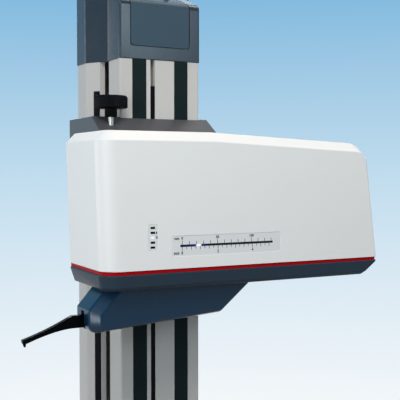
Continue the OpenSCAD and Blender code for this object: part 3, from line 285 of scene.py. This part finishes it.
# %% [markdown]
# The column is clear-anodised extrusion: its grain runs along its length, so the noise is stretched
# along Z, and along X on the stylus arm. Moulded plastic and rubber have a fine matt grain and very
# little gloss. The printing and the small metal pieces that are handled have finishes of their own.

# %% Column, plastic and print finishes
UP_GRAIN = (1.0, 1.0, 0.02)
ALONG_GRAIN = (0.02, 1.0, 1.0)
finish("column_alu", tone(193, 191, 188), 0.44, grain=2400, stretch=UP_GRAIN, spread=0.035, bump=0.10,
       depth=0.04 * MM, specular=0.2)
finish("guide_black", tone(22, 33, 35), 0.34, grain=2300, stretch=UP_GRAIN, spread=0.10, bump=0.10,
       depth=0.04 * MM, specular=0.04)
finish("arm_black", tone(3, 3, 4), 0.36, grain=2300, stretch=ALONG_GRAIN, spread=0.12, bump=0.10,
       specular=0.03)
finish("rubber_black", tone(7, 7, 10), 0.62, grain=1500, spread=0.12, bump=0.30, specular=0.06)
finish("brush_black", tone(12, 12, 14), 0.75, grain=1800, spread=0.15, bump=0.30, specular=0.15)
finish("knob_black", tone(5, 5, 9), 0.42, grain=1600, spread=0.12, bump=0.18, specular=0.07)
finish("stud_satin", tone(168, 163, 154), 0.32, metallic=0.75, grain=1900, spread=0.04, bump=0.08)
finish("screw_dark", tone(58, 56, 56), 0.38, metallic=0.7, grain=1700, spread=0.08, bump=0.10)
finish("socket_metal", tone(182, 184, 188), 0.26, metallic=1.0, grain=1800, spread=0.05, bump=0.08)
finish("window_grey", tone(227, 228, 228), 0.30, grain=1900, spread=0.012, bump=0.03, coat=0.05)
finish("print_black", tone(14, 15, 18), 0.55, grain=2600, spread=0.15, bump=0.05, specular=0.1)
print("outer finishes:", len(finishes))

# %% [markdown]
# Inside are bright metals, a ceramic beam, polymer shoes and green boards. They show only through the
# slots and in a cut view, but they are finished with the same care, because a library part gets opened.

# %% Finishes inside
finish("machined_alu", tone(178, 180, 182), 0.34, metallic=0.95, grain=2200, stretch=ALONG_GRAIN,
       spread=0.05, bump=0.12, depth=0.04 * MM)
finish("steel", tone(198, 199, 202), 0.22, metallic=1.0, grain=1900, stretch=UP_GRAIN, spread=0.05,
       bump=0.08, depth=0.03 * MM)
finish("motor_black", tone(32, 32, 35), 0.45, grain=900, spread=0.10, bump=0.30)
finish("brass", tone(196, 160, 92), 0.28, metallic=1.0, grain=1700, spread=0.06, bump=0.10)
finish("shoe_polymer", tone(198, 178, 138), 0.46, grain=1200, spread=0.05, bump=0.15)
finish("board_green", tone(28, 96, 58), 0.40, grain=700, spread=0.12, bump=0.25)
finish("beam_ceramic", tone(46, 46, 50), 0.18, grain=2600, spread=0.10, bump=0.04)
finish("glass", tone(214, 232, 240), 0.06, grain=1200, spread=0.02, bump=0.02, clear=0.9)
print("finishes:", len(finishes))

# %% [markdown]
# A solid's edges are mathematically sharp, and nothing real is. The mesh of a solid can be copied, its
# flat triangles joined, and its sharp edges rounded with a bevel of the radius that a casting, a
# moulding or a milled block has. The copy stands for the solid, which stays untouched underneath.

# %% Soft edges
SHARP = math.radians(28)
FLAT = math.radians(0.6)
SAME_POINT = 0.002 * MM


def link_piece(made, body):
    bpy.context.scene.collection.objects.link(made)
    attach(made, body)
    return made


def soften(node, radius, segments=3, weight_at=None, clamp=False):
    mesh = frame["nodes"][node].data.copy()
    mesh.name = node + "_soft"
    build = bmesh.new()
    build.from_mesh(mesh)
    bmesh.ops.remove_doubles(build, verts=build.verts, dist=SAME_POINT)
    bmesh.ops.dissolve_limit(build, angle_limit=FLAT, verts=build.verts, edges=build.edges)
    weights = build.edges.layers.float.new("bevel_weight_edge")
    for edge in build.edges:
        sharp = len(edge.link_faces) == 2 and edge.calc_face_angle() > SHARP
        centre = (edge.verts[0].co + edge.verts[1].co) / 2
        share = 1.0 if weight_at is None else weight_at(centre)
        edge.smooth = not sharp or share > 0
        edge[weights] = share if sharp else 0.0
    for face in build.faces:
        face.smooth = True
    build.to_mesh(mesh)
    build.free()
    mesh.materials.clear()
    mesh.materials.append(finishes[slot_of[node]])
    made = bpy.data.objects.new(node + "_soft", mesh)
    bevel = made.modifiers.new("edge", "BEVEL")
    bevel.limit_method = "WEIGHT"
    bevel.width = radius * MM
    bevel.segments = segments
    bevel.use_clamp_overlap = clamp
    level = made.modifiers.new("level", "WEIGHTED_NORMAL")
    level.keep_sharp = True
    level.weight = 100
    link_piece(made, body_of[node])
    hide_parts(node)


print("an edge is sharp from", round(math.degrees(SHARP)), "degrees")

# %% [markdown]
# The radii follow the making: large on the cast base, probe and foot, small on the trim and the inlaid
# panel. One radius for all would make the trim look melted and the castings look cut from a sheet. The
# nose slit of the probe is milled after painting, so its edges stay crisp.

# %% Round the castings and mouldings
SLIT_HALF = 6.0 * MM
TOP_BAND = 1.0 * MM
CRISP = 0.15
probe_low, probe_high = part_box("probe_housing")
probe_mid_y = (probe_low.y + probe_high.y) / 2


def probe_edge(place):
    in_slit = abs(place.y - probe_mid_y) < SLIT_HALF
    on_top = place.z > probe_high.z - TOP_BAND
    return CRISP if in_slit or on_top else 1.0


soften("probe_housing", 2.4, 4, probe_edge)
for node, radius in {"housing_cover": 0.9, "unit_base": 1.2, "trim_line": 0.3, "carriage_shroud": 1.8,
                     "cap_panel": 0.3, "column_foot": 1.6}.items():
    soften(node, radius)
print("probe slit at y", round(probe_mid_y / MM, 1), "mm")

# %% [markdown]
# The cap is a thin shell that flares to the rear. Only its outside is rounded: inside, the wall is too
# thin for it. Round the panel the edge is nearly sharp, so that the joint stays a fine dark line.

# %% Round the cap
LAND_END = -15.6 * MM
FLARE_END = 20.8 * MM
FRONT_HALF = 63 * MM
NEAR = 2 * MM
FINE_JOINT = 0.25
cap_low, cap_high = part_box("top_cap")
panel_low, panel_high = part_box("cap_panel")


def cap_edge(place):
    share = min(max((place.y - LAND_END) / (FLARE_END - LAND_END), 0.0), 1.0)
    half = FRONT_HALF + share * (cap_high.x - FRONT_HALF)
    beside_panel = abs(place.x) < panel_high.x + NEAR and place.z > panel_low.z - NEAR
    if beside_panel and place.y < panel_high.y + NEAR:
        return FINE_JOINT
    outside = abs(place.x) > half - NEAR or place.y < cap_low.y + NEAR or place.y > cap_high.y - NEAR
    return 1.0 if outside else 0.0


soften("top_cap", 1.0, 3, cap_edge)
print("cap width:", round((cap_high.x - cap_low.x) / MM, 1), "mm")

# %% [markdown]
# Milled blocks have their edges broken by a file, about half a millimetre. An extrusion comes out of its
# die with a quarter. The stylus holder is ground round at its point. The same helper does all of them,
# with fewer segments, because so small an edge only has to catch a line of light.

# %% Break the other edges
for node in ("carriage_saddle", "cheek_left", "cheek_right", "clamp_block", "unit_back", "motor_plate",
             "traverse_slide", "motor_bracket", "probe_arm", "arm_holder", "beam_supports",
             "screw_supports", "lift_nut", "traverse_nut", "pivot_yoke", "guide_beam", "sealing_lip"):
    soften(node, 0.5, 2, clamp=True)
for node in ("column_profile", "guideway_left", "guideway_right", "slot_filler"):
    soften(node, 0.25, 2)
soften("stylus_tip", 0.8, 4, clamp=True)

# %% [markdown]
# What stays as it came, such as pins, bearings, motors and screws, is turned or ground and has its true
# shape already. It only needs the finish that its slot in the record names. The clamping stud is the
# exception: it is handled and worn, so it is less of a mirror than the steel inside.

# %% Dress the other solids
WORN = {"clamp_stud": "stud_satin"}
for node, solid in frame["nodes"].items():
    solid.data.materials.clear()
    solid.data.materials.append(finishes[WORN.get(node, slot_of[node])])
print("dressed solids:", len(frame["nodes"]))

# %% [markdown]
# The clamping knob has a hub below, a knurled rim and a shallow dish on top. It is turned on a lathe, so
# it is made like that here: an outline of radius and height is swept round an axis. The rim could be a
# bump, but a knurl shows at the edge, so the ribs are real. The third value of an outline point says how
# deep the knurl is there: it fades out where the edges are rounded.

# %% Knob outline
HUB_R, HUB_L = 8.5 * MM, 12 * MM
HUB_EDGE, HUB_FILLET = 0.6 * MM, 1.0 * MM
LOWER_EDGE, LOWER_STEPS = 2.2 * MM, 4
UPPER_EDGE, UPPER_STEPS = 3.2 * MM, 5
RIM_W = 7 * MM
DISH_SLOPE, DISH_DEPTH = 1.2 * MM, 0.8 * MM
knob_low, knob_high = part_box("clamp_knob")
knob_r = (knob_high.x - knob_low.x) / 2
rim_z = knob_low.z + HUB_L
top_z = knob_high.z
knob_outline = [(0.0, knob_low.z, 0), (HUB_R - HUB_EDGE, knob_low.z, 0),
                (HUB_R, knob_low.z + HUB_EDGE, 0), (HUB_R, rim_z - HUB_FILLET, 0),
                (HUB_R + HUB_FILLET, rim_z, 0), (knob_r - LOWER_EDGE, rim_z, 0)]
for i in range(1, LOWER_STEPS + 1):
    turn = math.radians(90 * i / LOWER_STEPS)
    knob_outline.append((knob_r - LOWER_EDGE * (1 - math.sin(turn)),
                         rim_z + LOWER_EDGE * (1 - math.cos(turn)), i / LOWER_STEPS))
for i in range(UPPER_STEPS + 1):
    turn = math.radians(90 * i / UPPER_STEPS)
    knob_outline.append((knob_r - UPPER_EDGE * (1 - math.cos(turn)),
                         top_z - UPPER_EDGE * (1 - math.sin(turn)), 1 - i / UPPER_STEPS))
knob_outline += [(knob_r - RIM_W, top_z, 0), (knob_r - RIM_W - DISH_SLOPE, top_z - DISH_DEPTH, 0),
                 (0.0, top_z - DISH_DEPTH, 0)]
print("outline points:", len(knob_outline), "knob radius:", round(knob_r / MM, 1), "mm")

# %% Knurled knob
RIBS, RIB_STEPS = 64, 6
RIB_DEPTH = 0.9 * MM


def piece_from(build, name, paint, body):
    bmesh.ops.recalc_face_normals(build, faces=build.faces)
    mesh = bpy.data.meshes.new(name)
    build.to_mesh(mesh)
    build.free()
    mesh.materials.append(paint)
    made = link_piece(bpy.data.objects.new(name, mesh), body)
    return made


def turned(outline, around, axis_xy=(0.0, 0.0), ribs=0, rib_depth=0.0):
    build = bmesh.new()
    rings = []
    for radius, height, share in outline:
        if radius == 0.0:
            rings.append([build.verts.new((axis_xy[0], axis_xy[1], height))])
            continue
        ring = []
        for i in range(around):
            angle = 2 * math.pi * i / around
            reach = radius - rib_depth * share * (0.5 - 0.5 * math.cos(ribs * angle))
            ring.append(build.verts.new((axis_xy[0] + reach * math.cos(angle),
                                         axis_xy[1] + reach * math.sin(angle), height)))
        rings.append(ring)
    for low, high in zip(rings, rings[1:]):
        for i in range(around):
            j = (i + 1) % around
            corners = [low[i % len(low)], low[j % len(low)], high[j % len(high)], high[i % len(high)]]
            build.faces.new(list(dict.fromkeys(corners)))
    for face in build.faces:
        face.smooth = True
    return build


knob_axis = ((knob_low.x + knob_high.x) / 2, (knob_low.y + knob_high.y) / 2)
knob_build = turned(knob_outline, RIBS * RIB_STEPS, knob_axis, RIBS, RIB_DEPTH)
knob = piece_from(knob_build, "knurled_knob", finishes["knob_black"], "knob")
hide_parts("clamp_knob")
print("knob ribs:", RIBS, "faces:", len(knob.data.polygons))

# %% [markdown]
# The lift screw and the traverse screw are plain bars in the solids. Here the thread is real: a ring of
# points is swept along the axis while it turns, with a trapezoid wave for the flanks. One function cuts
# both, because only the axis, the lead and the depth differ.

# %% Threads
THREAD_AROUND = 24
LEAD_STEPS = 8


def threaded(name, node, axis, lead, depth, journal, plain_from, plain_to):
    low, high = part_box(node)
    centre = (low + high) / 2
    across = [i for i in range(3) if i != axis]
    outer = (high[across[0]] - low[across[0]]) / 2
    step = lead / LEAD_STEPS
    start = low[axis] + plain_from
    count = int((high[axis] - plain_to - start) / step)
    stations = [(low[axis], outer * journal, 0.0), (start, outer * journal, 0.0)]
    stations += [(start + i * step, outer, 1.0) for i in range(count + 1)]
    stations += [(start + count * step, outer * journal, 0.0), (high[axis], outer * journal, 0.0)]
    build = bmesh.new()
    rings = []
    for along, radius, cut in stations:
        ring = []
        for i in range(THREAD_AROUND):
            angle = 2 * math.pi * i / THREAD_AROUND
            phase = (along / lead - angle / (2 * math.pi)) % 1.0
            flank = min(max(4 * abs(phase - 0.5) - 0.5, 0.0), 1.0)
            reach = radius - depth * cut * flank
            point = [0.0, 0.0, 0.0]
            point[axis] = along
            point[across[0]] = centre[across[0]] + reach * math.cos(angle)
            point[across[1]] = centre[across[1]] + reach * math.sin(angle)
            ring.append(build.verts.new(point))
        rings.append(ring)
    for first, second in zip(rings, rings[1:]):
        for i in range(THREAD_AROUND):
            j = (i + 1) % THREAD_AROUND
            build.faces.new((first[i], first[j], second[j], second[i]))
    build.faces.new(list(reversed(rings[0])))
    build.faces.new(rings[-1])
    made = piece_from(build, name, finishes["steel"], body_of[node])
    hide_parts(node)
    print(name, "faces:", len(made.data.polygons))


threaded("lift_thread", "lift_screw", axis=2, lead=10 * MM, depth=1.6 * MM, journal=0.75,
         plain_from=17.9 * MM, plain_to=38 * MM)
threaded("traverse_thread", "traverse_screw", axis=0, lead=5 * MM, depth=0.9 * MM, journal=0.8,
         plain_from=10 * MM, plain_to=24 * MM)

# %% [markdown]
# The windows are thin grey foils let into the front, cut with round corners. Their printing lies on the
# foil and stands a few hundredths of a millimetre above it, so the foil is set back by a little more
# and nothing passes the front.

# %% Window foils
FOIL_BACK = 0.16 * MM
FOIL_R, CORNER_STEPS = 1.5 * MM, 6
scale_low, scale_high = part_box("scale_window")
level_low, level_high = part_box("level_window")


def foil(name, node, low, high):
    left, right = low.x + FOIL_R, high.x - FOIL_R
    bottom, top = low.z + FOIL_R, high.z - FOIL_R
    outline = []
    for quarter, (x, z) in enumerate(((right, top), (left, top), (left, bottom), (right, bottom))):
        for i in range(CORNER_STEPS + 1):
            angle = math.radians(90 * (quarter + i / CORNER_STEPS))
            outline.append((x + FOIL_R * math.cos(angle), z + FOIL_R * math.sin(angle)))
    build = bmesh.new()
    front = [build.verts.new((x, low.y + FOIL_BACK, z)) for x, z in outline]
    back = [build.verts.new((x, high.y, z)) for x, z in outline]
    build.faces.new(front)
    build.faces.new(list(reversed(back)))
    for i in range(len(outline)):
        j = (i + 1) % len(outline)
        build.faces.new((front[i], back[i], back[j], front[j]))
    made = piece_from(build, name, finishes["window_grey"], "carriage")
    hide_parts(node)


foil("scale_foil", "scale_window", scale_low, scale_high)
foil("level_foil", "level_window", level_low, level_high)
print("foils set back by", FOIL_BACK / MM, "mm")

# %% [markdown]
# The scale reads the probe's place: millimetres above the lit row, inches below, with longer ticks at
# the numbers. Ink could be a picture on the foil, but it would blur when the camera comes near, so each
# tick is a thin raised bar. All ticks of one scale are one mesh, since they are printed in one pass.

# %% Ink
INK = 0.05 * MM
BAR_FACES = ((0, 1, 2, 3), (7, 6, 5, 4), (0, 4, 5, 1), (1, 5, 6, 2), (2, 6, 7, 3), (3, 7, 4, 0))
ink_y = scale_low.y + FOIL_BACK


def printed(name, bars, ink=finishes["print_black"]):
    build = bmesh.new()
    for x0, x1, z0, z1 in bars:
        corners = [build.verts.new((x, y, z)) for y in (ink_y - INK, ink_y + INK)
                   for x, z in ((x0, z0), (x1, z0), (x1, z1), (x0, z1))]
        for quad in BAR_FACES:
            build.faces.new([corners[i] for i in quad])
    piece_from(build, name, ink, "carriage")


print("ink stands", round(INK / MM, 2), "mm above the foil")

# %% Printed ticks
INCH = 25.4 * MM
SCALE_ZERO_X = -44.3 * MM
MM_COUNT, INCH_COUNT = 14, 21
MM_LONG, MM_SHORT = 5.4 * MM, 4.0 * MM
INCH_LONG, INCH_MIDDLE, INCH_SHORT = 5.0 * MM, 3.8 * MM, 2.8 * MM
TICK_W = 0.66 * MM
ROW_H = 2.9 * MM
row_z = (scale_low.z + scale_high.z) / 2
mm_ticks = []
for i in range(MM_COUNT):
    x = SCALE_ZERO_X + i * 10 * MM
    tall = MM_LONG if i % 5 == 0 else MM_SHORT
    mm_ticks.append((x - TICK_W / 2, x + TICK_W / 2, row_z + ROW_H / 2, row_z + ROW_H / 2 + tall))
inch_ticks = []
for i in range(INCH_COUNT):
    x = SCALE_ZERO_X + i * INCH / 4
    tall = INCH_LONG if i % 8 == 0 else INCH_MIDDLE if i % 2 == 0 else INCH_SHORT
    inch_ticks.append((x - TICK_W / 2, x + TICK_W / 2, row_z - ROW_H / 2 - tall, row_z - ROW_H / 2))
printed("mm_ticks", mm_ticks)
printed("inch_ticks", inch_ticks)
print("ticks:", len(mm_ticks), len(inch_ticks))

# %% [markdown]
# The numbers are text curves, because Blender's own font is close to the plain face on the foil. Each is
# extruded by the thickness of the ink and turned into a mesh, so that it rides on the carriage.

# %% Printed numbers
NUMBER_H = 4.6 * MM
STROKE = 0.16 * MM
UNIT_LEFT = 7.5 * MM
LEVEL_RIGHT = 4.6 * MM
upper_z = row_z + 9.2 * MM
lower_z = row_z - 9.0 * MM
level_mid_x = (level_low.x + level_high.x) / 2
level_mid_z = (level_low.z + level_high.z) / 2


def label(name, words, x, z):
    letters = bpy.data.curves.new(name, "FONT")
    letters.body = words
    letters.size = NUMBER_H
    letters.align_x = "CENTER"
    letters.align_y = "CENTER"
    letters.extrude = INK
    letters.offset = STROKE
    letters.resolution_u = 3
    drawn = bpy.data.objects.new(name + "_drawn", letters)
    bpy.context.scene.collection.objects.link(drawn)
    drawn.rotation_euler = (math.radians(90), 0, 0)
    drawn.location = (x, ink_y, z)
    bpy.context.view_layer.update()
    mesh = bpy.data.meshes.new_from_object(drawn.evaluated_get(bpy.context.evaluated_depsgraph_get()))
    mesh.transform(drawn.matrix_world)
    bpy.data.objects.remove(drawn)
    mesh.materials.clear()
    mesh.materials.append(finishes["print_black"])
    made = link_piece(bpy.data.objects.new(name, mesh), "carriage")


for value in (0, 50, 100):
    label("mm_number_%d" % value, str(value), SCALE_ZERO_X + value * MM, upper_z)
for value in (0, 2, 4):
    label("inch_number_%d" % value, str(value), SCALE_ZERO_X + value * INCH, lower_z)
label("mm_label", "mm", SCALE_ZERO_X - UNIT_LEFT, upper_z)
label("inch_label", "inch", SCALE_ZERO_X - UNIT_LEFT, lower_z)
label("level_number", "0", level_mid_x + LEVEL_RIGHT, level_mid_z)
print("numbers at", round(upper_z / MM, 1), "and", round(lower_z / MM, 1), "mm")

# %% [markdown]
# The position row lights up where the probe is: white at the probe, blue beside it, dark elsewhere.
# Separate bars would leave seams between the colours. An emission whose colour follows the X place
# through a colour ramp does it on one bar, which is as long as the scale and a little more.

# %% Lit row
DARK = tone(24, 26, 28)
BLUE = tone(6, 34, 118)
WHITE = tone(252, 254, 255)
SCALE_L = 130 * MM
ROW_END = 2.5 * MM
POSITION = 23 * MM
WHITE_HALF, BLUE_HALF = 2.4 * MM, 4.4 * MM
GLOW_L, FADE_L = 14 * MM, 22.4 * MM


def lit_finish(name, stops):
    made, tree, shader = new_paint(name)
    from_x, to_x = stops[0][0], stops[-1][0]
    place = add_node(tree, "ShaderNodeTexCoord")
    split = add_node(tree, "ShaderNodeSeparateXYZ", {0: place.outputs["Object"]})
    along = add_node(tree, "ShaderNodeMapRange", {
        "Value": split.outputs["X"], "From Min": from_x, "From Max": to_x})
    ramp = add_node(tree, "ShaderNodeValToRGB", {0: along.outputs[0]})
    ramp.color_ramp.elements[0].color = stops[0][1]
    ramp.color_ramp.elements[1].color = stops[-1][1]
    for x, colour in stops[1:-1]:
        ramp.color_ramp.elements.new((x - from_x) / (to_x - from_x)).color = colour
    fill(tree, shader, {
        "Base Color": tone(12, 13, 16), "Roughness": 0.3, "Specular IOR Level": 0.1,
        "Emission Color": ramp.outputs[0], "Emission Strength": 1.0})
    return made


row_x0, row_x1 = SCALE_ZERO_X - ROW_END, SCALE_ZERO_X + SCALE_L + ROW_END
lit_x = SCALE_ZERO_X + POSITION
row_light = lit_finish("position_light", [
    (row_x0, tone(12, 22, 46)), (lit_x - GLOW_L, tone(10, 26, 64)), (lit_x - BLUE_HALF, BLUE),
    (lit_x - WHITE_HALF, WHITE), (lit_x + WHITE_HALF, WHITE), (lit_x + BLUE_HALF, BLUE),
    (lit_x + GLOW_L, tone(10, 22, 48)), (lit_x + FADE_L, DARK), (row_x1, DARK)])
printed("position_row", [(row_x0, row_x1, row_z - ROW_H / 2, row_z + ROW_H / 2)], row_light)
print("lit at", POSITION / MM, "mm")

# %% [markdown]
# The level window shows the arm's height in five steps. Four marks are plain ink, and the third is lit.
# A lamp behind the foil could light it, but the glowing finish of the row does the same without a
# light source of its own. The short dash beside the second mark is printed like the rest.

# %% Levels
LEVEL_STEP = 6.0 * MM
MARK_W, MARK_H = 6.0 * MM, 2.8 * MM
MARK_LEFT = 0.6 * MM
DASH_FROM, DASH_TO = 1.1 * MM, 2.6 * MM
PLAIN_RANKS = (2, 1, -1, -2)
mark_x0 = level_mid_x - MARK_LEFT - MARK_W / 2
mark_x1 = level_mid_x - MARK_LEFT + MARK_W / 2


def level_mark(rank, x0=mark_x0, x1=mark_x1):
    z = level_mid_z + rank * LEVEL_STEP
    return (x0, x1, z - MARK_H / 2, z + MARK_H / 2)


printed("level_marks", [level_mark(rank) for rank in PLAIN_RANKS])
printed("level_dash", [level_mark(1, mark_x1 + DASH_FROM, mark_x1 + DASH_TO)])
level_light = lit_finish("level_light", [
    (mark_x0, tone(225, 240, 255)), ((mark_x0 + mark_x1) / 2, WHITE), (mark_x1, tone(205, 228, 255))])
printed("level_lit", [level_mark(0)], level_light)
print("level marks:", len(PLAIN_RANKS) + 1)

# %% [markdown]
# Two button screws hold the panel on the cap's crown. A screw is turned like the knob, from an outline
# with a domed head and a round recess for the key. Then it is tilted with the crown and set on its seat.

# %% Cap screws
CROWN_A = math.radians(22)
HEAD_R, HEAD_H = 4 * MM, 2 * MM
SHANK_R, SHANK_L = 2 * MM, 8 * MM
RECESS_R, RECESS_DEPTH, RECESS_TAPER = 0.45 * HEAD_R, 1.2 * MM, 0.98
LIP_W, LIP_DROP = 0.1 * MM, 0.05 * MM
DOME_A, DOME_STEPS = 75, 6
SCREW_AROUND = 36
screw_low, screw_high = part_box("cap_screws")


def button_screw(name, x):
    lip_r = RECESS_R + LIP_W
    outline = [(0.0, -SHANK_L, 0), (SHANK_R, -SHANK_L, 0), (SHANK_R, 0.0, 0), (HEAD_R, 0.0, 0)]
    for i in range(1, DOME_STEPS + 1):
        turn = math.radians(DOME_A * i / DOME_STEPS)
        outline.append((lip_r + (HEAD_R - lip_r) * math.cos(turn),
                        HEAD_H * math.sin(turn) / math.sin(math.radians(DOME_A)), 0))
    outline += [(RECESS_R, HEAD_H - LIP_DROP, 0), (RECESS_R * RECESS_TAPER, HEAD_H - RECESS_DEPTH, 0),
                (0.0, HEAD_H - RECESS_DEPTH, 0)]
    build = turned(outline, SCREW_AROUND)
    seat_y = screw_low.y + HEAD_R * math.cos(CROWN_A) + HEAD_H * math.sin(CROWN_A)
    seat_z = screw_high.z - HEAD_R * math.sin(CROWN_A) - HEAD_H * math.cos(CROWN_A)
    tilted = Matrix.Translation((x, seat_y, seat_z)) @ Matrix.Rotation(CROWN_A, 4, "X")
    bmesh.ops.transform(build, matrix=tilted, verts=build.verts)
    made = piece_from(build, name, finishes["screw_dark"], "stand")
    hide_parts("cap_screws")


left_x, right_x = screw_low.x + HEAD_R, screw_high.x - HEAD_R
button_screw("cap_screw_left", left_x)
button_screw("cap_screw_right", right_x)
print("cap screws at x", round(left_x / MM, 1), "and", round(right_x / MM, 1), "mm")

# %% [markdown]
# The cable socket at the back has a ring of contacts. Turned pins with round ends could be made like the
# screws, but cones with a slight taper are enough: only their tips show inside the collar.

# %% Socket pins
PIN_COUNT = 7
PIN_RING = 3.6 * MM
PIN_ROOT_R, PIN_TIP_R, PIN_L = 0.6 * MM, 0.45 * MM, 3.4 * MM
PIN_INSET = 1.9 * MM
socket_low, socket_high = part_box("cable_socket")
socket_x = (socket_low.x + socket_high.x) / 2
socket_z = (socket_low.z + socket_high.z) / 2
pin_build = bmesh.new()
for i in range(PIN_COUNT):
    turn = 2 * math.pi * i / PIN_COUNT
    pin = bmesh.ops.create_cone(pin_build, cap_ends=True, segments=12, radius1=PIN_ROOT_R,
                                radius2=PIN_TIP_R, depth=PIN_L)
    for vertex in pin["verts"]:
        x, y, z = vertex.co
        vertex.co = (socket_x + PIN_RING * math.cos(turn) + x, socket_high.y - PIN_INSET + z,
                     socket_z + PIN_RING * math.sin(turn) - y)
piece_from(pin_build, "socket_pins", finishes["brass"], "carriage")
print("pins:", PIN_COUNT)

# %% [markdown]
# Brushes close the base's slot round the neck that carries the probe. Each bristle is a thin bar that
# leans a little, so the row looks combed and not cut from a block. Sines of the count give the lean,
# because they look irregular and still come out the same on every run.

# %% Bristles
BRISTLE_STEP = 0.8 * MM
BRISTLE_HALF = 0.32 * MM
NECK_GAP = 5.4 * MM
LEAN, LEAN_RATE = 0.25 * MM, 12.9898
SCATTER, SCATTER_RATE = 0.38, 7.233
SQUARE = ((-1, -1), (1, -1), (1, 1), (-1, 1))
brush_low, brush_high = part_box("slot_brushes")
brush_mid_y = (brush_low.y + brush_high.y) / 2
bristle_count = int((brush_high.x - brush_low.x) / BRISTLE_STEP)
bristle_build = bmesh.new()
for side in (-1, 1):
    root_y = brush_mid_y + side * (brush_high.y - brush_mid_y)
    tip_y = brush_mid_y + side * NECK_GAP
    for i in range(bristle_count):
        x = brush_low.x + (i + 0.5) * BRISTLE_STEP
        z = brush_low.z + (0.5 + SCATTER * math.sin(SCATTER_RATE * i)) * (brush_high.z - brush_low.z)
        lean = LEAN * math.sin(LEAN_RATE * i + side)
        root, tip = [[bristle_build.verts.new((x + shift + dx * BRISTLE_HALF, y, z + dz * BRISTLE_HALF))
                      for dx, dz in SQUARE] for y, shift in ((root_y, 0.0), (tip_y, lean))]
        for a in range(4):
            b = (a + 1) % 4
            bristle_build.faces.new((root[a], root[b], tip[b], tip[a]))
        bristle_build.faces.new(root)
        bristle_build.faces.new(tip)
bristles = piece_from(bristle_build, "bristles", finishes["brush_black"], "carriage")
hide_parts("slot_brushes")
print("bristles:", 2 * bristle_count)
